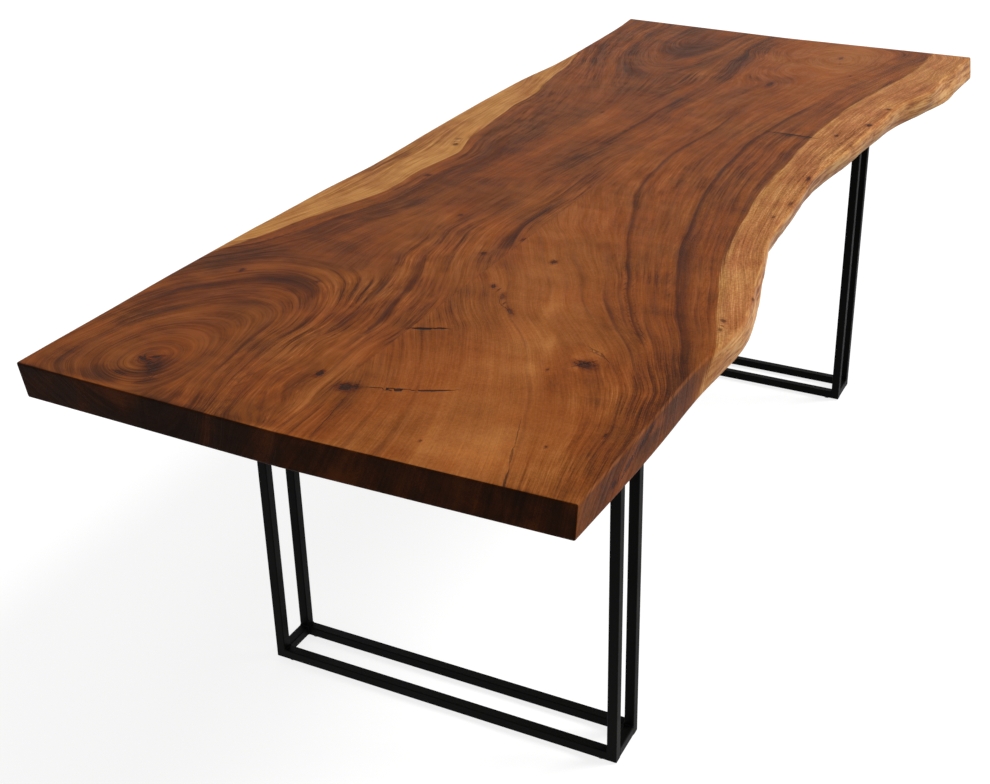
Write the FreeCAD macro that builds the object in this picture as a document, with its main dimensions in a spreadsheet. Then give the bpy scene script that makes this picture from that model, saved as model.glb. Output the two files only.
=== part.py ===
"""Dining table: a live edge top of two glued boards on two legs of black square tube.

The frame is +X along the table from the near end to the far end, +Y towards the straighter live
edge and +Z up. The origin lies on the floor under the middle of the top. Lengths are millimetres.
"""
import FreeCAD
import Part
import Sketcher
import math
import os
import re

from FreeCAD import Placement, Rotation, Vector

# ---------------------------------------------------------------- driving sizes
# Each row is (alias, value, what it is). The spreadsheet holds them, and every feature reads it.
SIZES = [
    ("table_length", 2316.0, "overall length of the top"),
    ("table_width", 942.0, "overall width of the top"),
    ("table_height", 762.0, "floor to the upper face of the top"),
    ("slab_thickness", 54.0, "both boards"),
    ("arris", 3.0, "eased edge along the rims of the top"),
    ("glue_line", 8.0, "glued joint from the middle of the top, towards +Y"),
    ("near_left_setback", 13.0, "left board's near corner behind the near end of the joint"),
    ("near_right_setback", 6.0, "right board's near corner behind the near end of the joint"),
    ("far_joint_setback", 28.0, "far end of the joint short of the left board's far corner"),
    ("far_right_setback", 25.0, "right board's far corner short of the left board's far corner"),
    ("near_leg_inset", 392.0, "near end of the top to the near leg"),
    ("far_leg_inset", 426.0, "far end of the top to the far leg"),
    ("leg_shift", 19.0, "middle of the legs from the middle of the top, towards +Y"),
    ("hoop_width", 680.0, "outer width of a hoop"),
    ("hoop_gap", 58.0, "clear gap between the two hoops of a leg"),
    ("tube_side", 18.0, "side of the square tube"),
    ("tube_wall", 1.5, "wall of the square tube"),
    ("tube_corner", 2.0, "outer corner radius of the square tube"),
    ("plate_thickness", 5.0, "mounting plate"),
    ("plate_corner", 6.0, "corner radius of the mounting plate"),
    ("glide_height", 2.0, "nylon glide under a bottom rail"),
    ("glide_diameter", 14.0, "nylon glide"),
    ("glide_inset", 30.0, "side of a hoop to the centre of its glide"),
    ("screw_diameter", 8.0, "machine screw's shank"),
    ("screw_grip", 17.0, "length of screw inside its insert"),
    ("screw_pitch", 190.0, "spacing of the screws along a mounting plate"),
    ("head_diameter", 13.0, "screw's cap head"),
    ("head_height", 8.0, "screw's cap head"),
    ("socket_radius", 3.4, "corner radius of the hexagon socket"),
    ("socket_depth", 4.0, "hexagon socket"),
    ("slot_width", 9.0, "slot in the mounting plate, along the table"),
    ("slot_length", 20.0, "slot in the mounting plate, end to end, so that the wood can move"),
    ("washer_diameter", 24.0, "washer that covers a slot"),
    ("washer_thickness", 1.6, "washer"),
    ("washer_play", 0.2, "radial play of the washer on the screw"),
    ("insert_diameter", 12.0, "threaded insert"),
    ("insert_length", 20.0, "threaded insert"),
    ("thread_play", 0.1, "radial play of screw in insert, and of insert in board"),
    ("drill_relief", 3.0, "depth of the board's hole past its insert"),
    ("tenon_thickness", 14.0, "loose tenon"),
    ("tenon_width", 46.0, "loose tenon, along the joint"),
    ("tenon_length", 100.0, "loose tenon, across the joint"),
    ("tenon_play", 0.1, "mortise past each broad face of its tenon"),
    ("mortise_relief", 0.5, "mortise past each edge and end of its tenon"),
    ("tenon_end_inset", 150.0, "end of the joint to the centre of the first tenon"),
]
SCREWS_PER_LEG = 4
TENON_COUNT = 7

# A live edge is a free curve. Each station is (share of the board's length, how far the upper rim
# lies inside the top's overall width, how much further inside the lower rim lies).
LEFT_LIVE_EDGE = [
    (0.00, 7, 12), (0.10, 2.5, 10), (0.16, 0, 12), (0.24, 0, 14), (0.29, 2, 13), (0.35, 4, 12),
    (0.41, 11.5, 10), (0.45, 11, 11), (0.50, 7, 12), (0.61, 3.5, 13), (0.68, 4.5, 14),
    (0.72, 8, 12), (0.76, 16.5, 10), (0.81, 20, 11), (0.88, 18, 12), (0.94, 15, 10), (1.00, 7, 12),
]
RIGHT_LIVE_EDGE = [
    (0.00, 47, 4), (0.13, 41, 0), (0.18, 39, 1), (0.22, 31, 3), (0.26, 31, 1), (0.30, 49, -3),
    (0.35, 71, 5), (0.40, 93, 15), (0.44, 99, 18), (0.50, 105, 17), (0.56, 112, 18),
    (0.60, 105, 20), (0.64, 94, 20), (0.69, 87, 17), (0.74, 79, 14), (0.80, 64, 8),
    (0.83, 42, 11), (0.86, 26, 9), (0.90, 26, -13), (0.93, 16, -6), (0.965, 13, -8),
    (1.00, 6, -6),
]

doc = FreeCAD.newDocument("live_edge_dining_table")
sheet = doc.addObject("Spreadsheet::Sheet", "Sizes")
for row, (alias, value, meaning) in enumerate(SIZES, start=1):
    sheet.set(f"A{row}", meaning)
    sheet.set(f"B{row}", str(value))
    sheet.setAlias(f"B{row}", alias)
doc.recompute()

ALIASES = "|".join(alias for alias, value, meaning in SIZES)
nodes = []


def sized(text):
    """Turn the aliases in an expression into references to the sheet."""
    return re.sub(rf"\b({ALIASES})\b", r"Sizes.\1", text)


def size(alias):
    return float(sheet.get(alias))


def bind(thing, **expressions):
    """Bind properties to expressions; an underscore in a key stands for a dot in the path."""
    for key, text in expressions.items():
        thing.setExpression(key.replace("_", "."), sized(text))


def put(thing, x="0", y="0", z="0"):
    for axis, text in zip("xyz", (x, y, z)):
        thing.setExpression(f".Placement.Base.{axis}", sized(text))


def keep(thing, label):
    """Mark an object as one of the table's pieces, under the name of its file."""
    thing.Label = label
    nodes.append(thing)
    return thing


# ---------------------------------------------------------------- places that pieces share
UNDERSIDE = "(table_height - slab_thickness)"
PLATE_UNDERSIDE = f"({UNDERSIDE} - plate_thickness)"
HOOP_HEIGHT = f"({PLATE_UNDERSIDE} - glide_height)"
LEG_DEPTH = "(2 * tube_side + hoop_gap)"
LEG_CENTRES = {
    "near": f"(-table_length / 2 + near_leg_inset + {LEG_DEPTH} / 2)",
    "far": f"(table_length / 2 - far_leg_inset - {LEG_DEPTH} / 2)",
}
SIDES = {"left": 1, "right": -1}


def screw_places():
    """Centres of the screws: a row across the table over the middle of each leg."""
    for leg, leg_x in LEG_CENTRES.items():
        for count in range(SCREWS_PER_LEG):
            step = count - (SCREWS_PER_LEG - 1) / 2
            yield f"{leg}_{count + 1}", leg_x, f"(leg_shift + {step} * screw_pitch)"


def tenon_places():
    """Centres of the loose tenons along the joint, spread evenly between its ends."""
    run = "(table_length - far_joint_setback - 2 * tenon_end_inset)"
    for count in range(TENON_COUNT):
        share = count / (TENON_COUNT - 1)
        yield str(count + 1), f"(-table_length / 2 + tenon_end_inset + {share:.6f} * {run})"


# ---------------------------------------------------------------- Part primitives
def block(name, length, width, height, x, y, z):
    """A box centred on x and y that stands on z."""
    thing = doc.addObject("Part::Box", name)
    bind(thing, Length=length, Width=width, Height=height)
    put(thing, f"{x} - {length} / 2", f"{y} - {width} / 2", z)
    return thing


def rod(name, diameter, height, x, y, z):
    thing = doc.addObject("Part::Cylinder", name)
    bind(thing, Radius=f"{diameter} / 2", Height=height)
    put(thing, x, y, z)
    return thing


def cut(name, base, tool):
    thing = doc.addObject("Part::Cut", name)
    thing.Base = base
    thing.Tool = tool
    return thing


def group(name, things):
    thing = doc.addObject("Part::Compound", name)
    thing.Links = things
    return thing


# ---------------------------------------------------------------- boards
def board_rim(name, side, edge, setbacks, level, easing):
    """Closed outline of a board at one level: near end, live edge, far end and joint.

    setbacks are those of the near corner, the far corner and the far end of the joint.
    easing draws the two ends and the live edge in, never the joint.
    """
    near_corner, far_corner, far_joint = setbacks
    half_length = size("table_length") / 2
    start = -half_length + near_corner + easing
    stop = half_length - far_corner - easing
    depth_share = (size("table_height") - level) / size("slab_thickness")
    curve_points = []
    for share, inset, undercut in edge:
        reach = size("table_width") / 2 - inset - undercut * depth_share - easing
        curve_points.append(Vector(start + share * (stop - start), side * reach, level))
    live_edge = Part.BSplineCurve()
    live_edge.interpolate(curve_points)
    joint_near = Vector(-half_length + easing, size("glue_line"), level)
    joint_far = Vector(half_length - far_joint - easing, size("glue_line"), level)
    rim = doc.addObject("Part::Feature", name)
    rim.Shape = Part.Wire([
        Part.makeLine(joint_near, curve_points[0]),
        live_edge.toShape(),
        Part.makeLine(curve_points[-1], joint_far),
        Part.makeLine(joint_far, joint_near),
    ])
    return rim


def board(label, side, edge, setbacks, holes):
    """A board lofted through its rims, with its mortises and insert holes cut out."""
    top = size("table_height")
    bottom = top - size("slab_thickness")
    arris = size("arris")
    levels = [(bottom, arris), (bottom + arris, 0), (top - arris, 0), (top, arris)]
    blank = doc.addObject("Part::Loft", f"{label}_blank")
    blank.Sections = [
        board_rim(f"{label}_rim_{count}", side, edge, setbacks, level, easing)
        for count, (level, easing) in enumerate(levels, start=1)
    ]
    blank.Solid = True
    blank.Ruled = True
    return keep(cut(f"{label}_cut", blank, holes), label)


def make_boards():
    mortise_height = "(tenon_thickness + 2 * tenon_play)"
    holes = [
        block(f"mortise_{name}", "(tenon_width + 2 * mortise_relief)",
              "(tenon_length + 2 * mortise_relief)", mortise_height,
              x, "glue_line", f"{UNDERSIDE} + (slab_thickness - {mortise_height}) / 2")
        for name, x in tenon_places()
    ]
    holes += [
        rod(f"insert_hole_{name}", "(insert_diameter + 2 * thread_play)",
            "(insert_length + drill_relief)", x, y, UNDERSIDE)
        for name, x, y in screw_places()
    ]
    hole_group = group("board_holes", holes)
    left_setbacks = (size("near_left_setback"), 0, size("far_joint_setback"))
    right_setbacks = (size("near_right_setback"), size("far_right_setback"),
                      size("far_joint_setback"))
    board("slab_board_left", SIDES["left"], LEFT_LIVE_EDGE, left_setbacks, hole_group)
    board("slab_board_right", SIDES["right"], RIGHT_LIVE_EDGE, right_setbacks, hole_group)


def make_tenons():
    tenons = [
        block(f"tenon_{name}", "tenon_width", "tenon_length", "tenon_thickness",
              x, "glue_line", f"{UNDERSIDE} + (slab_thickness - tenon_thickness) / 2")
        for name, x in tenon_places()
    ]
    keep(group("tenon_group", tenons), "joint_tenons")


# ---------------------------------------------------------------- square tube
def origin_plane(body, role):
    return next(item for item in body.Origin.OriginFeatures if item.Role == role)


def flat_sketch(body, name):
    """A sketch on the body's own XY plane."""
    sketch = body.newObject("Sketcher::SketchObject", name)
    sketch.AttachmentSupport = [(origin_plane(body, "XY_Plane"), "")]
    sketch.MapMode = "FlatFace"
    return sketch


def draw_sides(sketch, corners):
    """Straight sides from corner to corner, joined end to start."""
    count = len(corners)
    for index in range(count):
        following = corners[(index + 1) % count]
        sketch.addGeometry(Part.LineSegment(Vector(*corners[index], 0), Vector(*following, 0)))
    for index in range(count):
        sketch.addConstraint(Sketcher.Constraint("Coincident", index, 2, (index + 1) % count, 1))


def dimension(sketch, name, constraint, text):
    """Add a dimension and bind it to an expression."""
    index = sketch.addConstraint(constraint)
    sketch.renameConstraint(index, name)
    sketch.setExpression(f"Constraints.{name}", sized(text))


def draw_strip(sketch, low_length, high_length, low, high):
    """A four-sided strip, even about the Y axis, between two heights over the X axis."""
    draw_sides(sketch, [(-5, 1), (5, 1), (4, 3), (-4, 3)])
    sketch.addConstraint(Sketcher.Constraint("Symmetric", 0, 1, 0, 2, -2))
    sketch.addConstraint(Sketcher.Constraint("Symmetric", 2, 1, 2, 2, -2))
    dimension(sketch, "low_length", Sketcher.Constraint("DistanceX", 0, 1, 0, 2, 10.0), low_length)
    dimension(sketch, "high_length", Sketcher.Constraint("DistanceX", 2, 2, 2, 1, 8.0), high_length)
    dimension(sketch, "high", Sketcher.Constraint("DistanceY", -1, 1, 2, 1, 3.0), high)
    if low == "0":
        sketch.addConstraint(Sketcher.Constraint("PointOnObject", 0, 1, -1))
    else:
        dimension(sketch, "low", Sketcher.Constraint("DistanceY", -1, 1, 0, 1, 1.0), low)


def extruded(body, kind, name, sketch, length, side_type="Symmetric"):
    """A Pad or a Pocket of a sketch, to both sides of it unless side_type says otherwise."""
    feature = body.newObject(f"PartDesign::{kind}", name)
    feature.Profile = sketch
    feature.SideType = side_type
    bind(feature, Length=length)
    return feature


def rounded(body, name, base, radius, axis):
    """Fillet the straight edges of base that run along an axis."""
    doc.recompute()
    picked = []
    for index, edge in enumerate(base.Shape.Edges, start=1):
        if abs(edge.tangentAt(edge.FirstParameter).dot(axis)) > 0.999:
            picked.append(f"Edge{index}")
    feature = body.newObject("PartDesign::Fillet", name)
    feature.Base = (base, picked)
    bind(feature, Radius=radius)
    return feature


# A tube is drawn with its length along local X and its outer side on local y = 0. RAIL_ATTITUDE
# lays it as a bottom rail: across the table, with the outer side down.
RAIL_ATTITUDE = Rotation(Vector(0, 1, 0), Vector(0, 0, 1), Vector(1, 0, 0), "XYZ")
SPACER_ATTITUDE = Rotation(Vector(1, 0, 0), 90)


def rail_turned(angle):
    """The bottom rail's attitude, turned within the plane of its hoop."""
    return Rotation(Vector(1, 0, 0), angle) * RAIL_ATTITUDE


def tube(label, length, mitre, attitude, x, y, z):
    """Hollow square tube whose ends are cut back by mitre along the inner side."""
    body = doc.addObject("PartDesign::Body", f"{label}_body")
    outline = flat_sketch(body, f"{label}_outline")
    draw_strip(outline, length, f"{length} - 2 * {mitre}", "0", "tube_side")
    bar = extruded(body, "Pad", f"{label}_bar", outline, "tube_side")
    rounded(body, f"{label}_corners", bar, "tube_corner", Vector(1, 0, 0))
    bore = flat_sketch(body, f"{label}_bore")
    draw_strip(bore, length, length, "tube_wall", "tube_side - tube_wall")
    extruded(body, "Pocket", f"{label}_hollow", bore, "tube_side - 2 * tube_wall")
    body.Placement = Placement(Vector(0, 0, 0), attitude)
    put(body, x, y, z)
    return keep(body, label)


def make_hoop(name, x):
    """One rectangular hoop: a rail below and above, and an upright at each side."""
    tube(f"{name}_bottom_rail", "hoop_width", "tube_side", rail_turned(0),
         x, "leg_shift", "glide_height")
    tube(f"{name}_top_rail", "hoop_width", "tube_side", rail_turned(180),
         x, "leg_shift", PLATE_UNDERSIDE)
    for side, sign in SIDES.items():
        tube(f"{name}_{side}_upright", HOOP_HEIGHT, "tube_side", rail_turned(90 * sign),
             x, f"leg_shift + {sign} * hoop_width / 2", f"glide_height + {HOOP_HEIGHT} / 2")


def make_glides(name, x):
    """A nylon glide under each end of a hoop's bottom rail."""
    for side, sign in SIDES.items():
        glide = rod(f"{name}_{side}_disc", "glide_diameter", "glide_height",
                    x, f"leg_shift + {sign} * (hoop_width / 2 - glide_inset)", "0")
        keep(glide, f"{name}_{side}_glide")


# ---------------------------------------------------------------- mounting plate
def draw_slot(sketch):
    """A slot along Y: the lowest of a row that is centred on the origin."""
    radius = size("slot_width") / 2
    upper = -(SCREWS_PER_LEG - 1) * size("screw_pitch") / 2 + size("slot_length") / 2 - radius
    lower = upper - size("slot_length") + 2 * radius
    upward = Vector(0, 0, 1)
    upper_end = Part.Circle(Vector(0, upper, 0), upward, radius)
    lower_end = Part.Circle(Vector(0, lower, 0), upward, radius)
    sketch.addGeometry(Part.ArcOfCircle(upper_end, 0, math.pi))
    sketch.addGeometry(Part.LineSegment(Vector(-radius, upper, 0), Vector(-radius, lower, 0)))
    sketch.addGeometry(Part.ArcOfCircle(lower_end, math.pi, 2 * math.pi))
    sketch.addGeometry(Part.LineSegment(Vector(radius, lower, 0), Vector(radius, upper, 0)))
    for index in range(4):
        sketch.addConstraint(Sketcher.Constraint("Tangent", index, 2, (index + 1) % 4, 1))
    sketch.addConstraint(Sketcher.Constraint("Vertical", 1))
    sketch.addConstraint(Sketcher.Constraint("PointOnObject", 0, 3, -2))
    row_end = f"{SCREWS_PER_LEG - 1} * screw_pitch / 2"
    half_run = "(slot_length - slot_width) / 2"
    dimension(sketch, "end_radius", Sketcher.Constraint("Radius", 0, radius), "slot_width / 2")
    dimension(sketch, "upper_end", Sketcher.Constraint("DistanceY", 0, 3, -1, 1, -upper),
              f"{row_end} - {half_run}")
    dimension(sketch, "lower_end", Sketcher.Constraint("DistanceY", 2, 3, -1, 1, -lower),
              f"{row_end} + {half_run}")


def make_plate(leg):
    """Flat plate over both hoops of a leg, with a row of slots between their top rails."""
    label = f"{leg}_mounting_plate"
    body = doc.addObject("PartDesign::Body", f"{label}_body")
    outline = flat_sketch(body, f"{label}_outline")
    draw_strip(outline, LEG_DEPTH, LEG_DEPTH, "-hoop_width / 2", "hoop_width / 2")
    blank = extruded(body, "Pad", f"{label}_sheet", outline, "plate_thickness", "One side")
    rounded(body, f"{label}_corners", blank, "plate_corner", Vector(0, 0, 1))
    slot = flat_sketch(body, f"{label}_slot")
    draw_slot(slot)
    first_slot = extruded(body, "Pocket", f"{label}_first_slot", slot, "2 * plate_thickness")
    row = body.newObject("PartDesign::LinearPattern", f"{label}_slot_row")
    row.Originals = [first_slot]
    row.Direction = (slot, ["V_Axis"])
    row.Occurrences = SCREWS_PER_LEG
    bind(row, Length=f"{SCREWS_PER_LEG - 1} * screw_pitch")
    body.Tip = row
    put(body, LEG_CENTRES[leg], "leg_shift", PLATE_UNDERSIDE)
    keep(body, label)


def make_leg(leg):
    """Two hoops on glides, the spacers between their feet and the plate over them."""
    outward = -1 if leg == "near" else 1
    for name, direction in (("outer", outward), ("inner", -outward)):
        hoop_x = f"({LEG_CENTRES[leg]} + {direction} * (hoop_gap + tube_side) / 2)"
        make_hoop(f"{leg}_{name}", hoop_x)
        make_glides(f"{leg}_{name}", hoop_x)
    for side, sign in SIDES.items():
        tube(f"{leg}_{side}_foot_spacer", "hoop_gap", "0", SPACER_ATTITUDE,
             LEG_CENTRES[leg], f"leg_shift + {sign} * (hoop_width - tube_side) / 2", "glide_height")
    make_plate(leg)


# ---------------------------------------------------------------- fasteners
def make_fasteners():
    """Screws up through the plates' slots, their washers, and the inserts in the boards."""
    screws = []
    washers = []
    inserts = []
    head_top = f"({PLATE_UNDERSIDE} - washer_thickness)"
    for name, x, y in screw_places():
        shank = rod(f"shank_{name}", "screw_diameter",
                    "(washer_thickness + plate_thickness + screw_grip)", x, y, head_top)
        head = rod(f"head_{name}", "head_diameter", "head_height",
                   x, y, f"{head_top} - head_height")
        solid = doc.addObject("Part::MultiFuse", f"screw_blank_{name}")
        solid.Shapes = [shank, head]
        socket = doc.addObject("Part::Prism", f"socket_{name}")
        socket.Polygon = 6
        bind(socket, Circumradius="socket_radius", Height="socket_depth")
        put(socket, x, y, f"{head_top} - head_height")
        screws.append(cut(f"screw_{name}", solid, socket))
        disc = rod(f"washer_disc_{name}", "washer_diameter", "washer_thickness", x, y, head_top)
        eye = rod(f"washer_eye_{name}", "(screw_diameter + 2 * washer_play)", "washer_thickness",
                  x, y, head_top)
        washers.append(cut(f"washer_{name}", disc, eye))
        sleeve = rod(f"sleeve_{name}", "insert_diameter", "insert_length", x, y, UNDERSIDE)
        thread = rod(f"thread_{name}", "(screw_diameter + 2 * thread_play)", "insert_length",
                     x, y, UNDERSIDE)
        inserts.append(cut(f"insert_{name}", sleeve, thread))
    keep(group("screw_group", screws), "leg_screws")
    keep(group("washer_group", washers), "leg_washers")
    keep(group("insert_group", inserts), "threaded_inserts")


# ---------------------------------------------------------------- the whole table
make_boards()
make_tenons()
for leg in LEG_CENTRES:
    make_leg(leg)
make_fasteners()
doc.recompute()

for thing in doc.Objects:
    if "Invalid" in thing.State or "Error" in thing.State:
        raise RuntimeError(f"{thing.Name} did not build: {thing.State}")
for node in nodes:
    if node.Shape.isNull() or not node.Shape.isValid():
        raise RuntimeError(f"{node.Label} has no valid shape")

os.makedirs("parts", exist_ok=True)
for node in nodes:
    node.Shape.exportStep(f"parts/{node.Label}.step")
    corners = node.Shape.BoundBox
    print(f"{node.Label}: {len(node.Shape.Solids)} solids, {node.Shape.Volume / 1000:.1f} cm3, "
          f"{corners.XLength:.1f} x {corners.YLength:.1f} x {corners.ZLength:.1f} mm")
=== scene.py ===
# %% [markdown]
# # A live-edge dining table
# The real table is a thick slab, glued up from two boards of one tree, on two legs of square steel tube.
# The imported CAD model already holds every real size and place, so it is loaded first and never moved.
# This lesson dresses it: the two boards get their waney sides and their figure, and the steel its coat.

# %% Load the fixed frame
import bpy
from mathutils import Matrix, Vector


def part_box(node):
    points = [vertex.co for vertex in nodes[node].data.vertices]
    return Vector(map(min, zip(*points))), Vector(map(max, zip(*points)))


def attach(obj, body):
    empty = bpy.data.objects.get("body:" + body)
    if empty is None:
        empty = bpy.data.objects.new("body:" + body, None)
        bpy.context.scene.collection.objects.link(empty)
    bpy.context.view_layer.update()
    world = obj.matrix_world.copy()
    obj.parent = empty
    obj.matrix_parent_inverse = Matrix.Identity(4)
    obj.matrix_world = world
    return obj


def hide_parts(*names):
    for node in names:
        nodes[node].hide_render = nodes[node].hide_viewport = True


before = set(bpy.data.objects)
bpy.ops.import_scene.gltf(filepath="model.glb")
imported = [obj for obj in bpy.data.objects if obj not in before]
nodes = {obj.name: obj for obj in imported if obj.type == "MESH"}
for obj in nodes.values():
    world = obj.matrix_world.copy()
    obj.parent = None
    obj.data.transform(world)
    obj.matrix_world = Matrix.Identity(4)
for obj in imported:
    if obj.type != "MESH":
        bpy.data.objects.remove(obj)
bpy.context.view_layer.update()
print("frame loaded")

# %% [markdown]
# Blender counts in metres, while a maker measures furniture in millimetres. One constant turns one into
# the other, so every size below can be read against a ruler.

# %% Libraries and the unit
import math
import bpy
import numpy as np
from mathutils import Vector

MM = 0.001
print("CAD nodes:", len(nodes))

# %% [markdown]
# ## Where the viewer stands
# The table is seen from above its near end, turned so that the scooped long side shows.
# A camera could be aimed at a target, but its place and two angles say more plainly where it stands.
# The small shift slides the picture without turning the camera, as a crop of a larger picture does.

# %% Camera
CAMERA_PLACE = (-2.47505, -1.02144, 1.68978)
CAMERA_PITCH = 25.2273     # degrees below level
CAMERA_HEADING = 24.6554   # degrees from +X towards +Y
FOCAL_LENGTH = 52.024      # mm, on a sensor 36 mm wide
PICTURE_SHIFT = (-0.07622, -0.07228)      # sideways and up, in picture widths
SIGHT_LIMIT = 60.0         # m, past the far corners of the floor


def new_object(name, data):
    """A mesh, a camera or a lamp as an object in the scene."""
    thing = bpy.data.objects.new(name, data)
    bpy.context.scene.collection.objects.link(thing)
    return thing


camera_data = bpy.data.cameras.new("viewer")
camera_data.sensor_width = 36.0
camera_data.lens = FOCAL_LENGTH
camera_data.shift_x, camera_data.shift_y = PICTURE_SHIFT
camera_data.clip_end = SIGHT_LIMIT
camera = new_object("viewer", camera_data)
camera.location = CAMERA_PLACE
camera.rotation_euler = (math.radians(90 - CAMERA_PITCH), 0.0, math.radians(CAMERA_HEADING - 90))
bpy.context.scene.camera = camera
bpy.context.scene.view_settings.view_transform = "Standard"
print("camera:", CAMERA_PLACE, "looking", CAMERA_PITCH, "degrees down")

# %% [markdown]
# ## Small helpers for node trees
# Materials and Geometry Nodes are both trees of nodes, so one set of short helpers serves them all.
# Each input of a node takes either a plain value or another node's output, and one function sees to both.

# %% Helpers: making and feeding nodes
def srgb(red, green, blue):
    """A colour written as 0 to 255 on a screen, as the linear colour that Blender works in."""
    shares = [value / 255 for value in (red, green, blue)]
    linear = [s / 12.92 if s <= 0.04045 else ((s + 0.055) / 1.055) ** 2.4 for s in shares]
    return (*linear, 1.0)


def feed(tree, socket, value):
    """Joins a socket to another node's output, or sets it to a plain value."""
    if isinstance(value, bpy.types.NodeSocket):
        tree.links.new(value, socket)
    else:
        socket.default_value = value


def add(tree, kind, inputs=None, **settings):
    """A new node of that kind, with its settings, and with its inputs fed by name or by number."""
    node = tree.nodes.new(kind)
    for name, value in settings.items():
        setattr(node, name, value)
    for key, value in (inputs or {}).items():
        feed(tree, node.inputs[key], value)
    return node


print("helpers that make and feed nodes ready")

# %% [markdown]
# A pattern is mostly sums: add two noises, stretch the result to a range, mix two colours by it.
# Each could be wired by hand in the node editor. A short function per node keeps a long sum readable.

# %% Helpers: sums, ranges and mixes
def calc(tree, operation, *values, clamp=False):
    """One step of arithmetic."""
    node = add(tree, "ShaderNodeMath", dict(enumerate(values)), operation=operation, use_clamp=clamp)
    return node.outputs[0]


def times(tree, first, *others):
    """The product of two or more values."""
    for value in others:
        first = calc(tree, "MULTIPLY", first, value)
    return first


def spread(tree, value, low, high, to_low=0.0, to_high=1.0):
    """Stretches a range of values onto another, with soft ends."""
    inputs = dict(enumerate((value, low, high, to_low, to_high)))
    return add(tree, "ShaderNodeMapRange", inputs, interpolation_type="SMOOTHSTEP").outputs[0]


def blend(tree, share, first, second, how="MIX"):
    """Mixes two colours."""
    inputs = {0: share, 6: first, 7: second}
    return add(tree, "ShaderNodeMix", inputs, data_type="RGBA", blend_type=how).outputs[2]


print("helpers for sums ready")

# %% [markdown]
# Patterns need a place to be drawn at, which is three numbers, and noise is the raw stuff of most of them.
# A colour ramp then turns a number into a colour, with stops written as they'd show on a screen.

# %% Helpers: vectors, noise and ramps
def join(tree, x, y, z=0.0):
    """Three numbers as one vector."""
    return add(tree, "ShaderNodeCombineXYZ", {0: x, 1: y, 2: z}).outputs[0]


def split(tree, vector):
    """The three numbers of a vector."""
    return tuple(add(tree, "ShaderNodeSeparateXYZ", {0: vector}).outputs)


def noise(tree, place, scale=1.0, detail=2.0, roughness=0.5):
    """Smooth random values, mostly between 0.3 and 0.7."""
    inputs = {"Vector": place, "Scale": scale, "Detail": detail, "Roughness": roughness}
    return add(tree, "ShaderNodeTexNoise", inputs).outputs["Fac"]


def ramp(tree, share, *stops):
    """A run of colours: each stop is its place from 0 to 1 and its colour on a screen."""
    node = add(tree, "ShaderNodeValToRGB", {0: share})
    band = node.color_ramp.elements
    while len(band) < len(stops):
        band.new(0.5)
    for element, (place, colour) in zip(band, stops):
        element.position = place
        element.color = srgb(*colour)
    return node.outputs[0]


print("helpers for noise and ramps ready")

# %% [markdown]
# A node group is built once and placed wherever its effect is wanted, each time with its own values.
# A bump shades a surface as if it were uneven, which suits pores far too fine to be modelled.

# %% Helpers: groups and materials
def new_group(name, inputs, outputs, kind="ShaderNodeTree"):
    """An empty node group with named inputs and outputs, and the kind of each."""
    group = bpy.data.node_groups.new(name, kind)
    for way, sockets in (("INPUT", inputs), ("OUTPUT", outputs)):
        for label, sort in sockets.items():
            group.interface.new_socket(label, in_out=way, socket_type=f"NodeSocket{sort}")
    source = add(group, "NodeGroupInput")
    sink = add(group, "NodeGroupOutput")
    return group, source.outputs, sink.inputs


def use_group(tree, group, **values):
    """Places a group in a tree and feeds its inputs by name."""
    return add(tree, "ShaderNodeGroup", values, node_tree=group).outputs


def new_material(name):
    """An empty material with its Principled shader, and the surface's own coordinates."""
    material = bpy.data.materials.new(name)
    material.use_nodes = True
    tree = material.node_tree
    shader = tree.nodes["Principled BSDF"]
    place = add(tree, "ShaderNodeTexCoord").outputs["Object"]
    return material, tree, shader, place


def roughen(tree, shader, height, distance):
    """A bump: height from 0 to 1, as deep as distance in metres."""
    bump = add(tree, "ShaderNodeBump", {"Height": height, "Distance": distance})
    feed(tree, shader.inputs["Normal"], bump.outputs[0])


print("helpers for groups and materials ready")

# %% [markdown]
# ## The studio
# A plain white room: one broad lamp high on the far right, and an even white sky for the rest.
# The sky is dimmer for the light that it gives than for the eye, so colours keep about the values written.
# The floor is grey as a reflector and near white to the eye, and it still carries the table's shadow.

# %% Sky
SKY_LIGHT = 0.46      # strength of the light that the sky gives; to the eye it is 1
world = bpy.data.worlds.new("studio_sky")
world.use_nodes = True
bpy.context.scene.world = world


def seen_directly(tree):
    """1 for light that the viewer sees straight, in a reflection or through glass, and 0 for the rest."""
    path = add(tree, "ShaderNodeLightPath").outputs
    either = calc(tree, "MAXIMUM", path["Is Camera Ray"], path["Is Glossy Ray"])
    return calc(tree, "MAXIMUM", either, path["Is Transmission Ray"])


sky = world.node_tree
sky_strength = spread(sky, seen_directly(sky), 0.0, 1.0, SKY_LIGHT, 1.0)
background = sky.nodes["Background"].inputs
feed(sky, background["Color"], srgb(255, 255, 255))
feed(sky, background["Strength"], sky_strength)
print("sky light:", SKY_LIGHT)

# %% [markdown]
# The floor is one large square. It glows faintly towards the viewer and is matt for the lamp, so it looks
# white, and the soft shadow that sets the table down on it stays.

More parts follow.
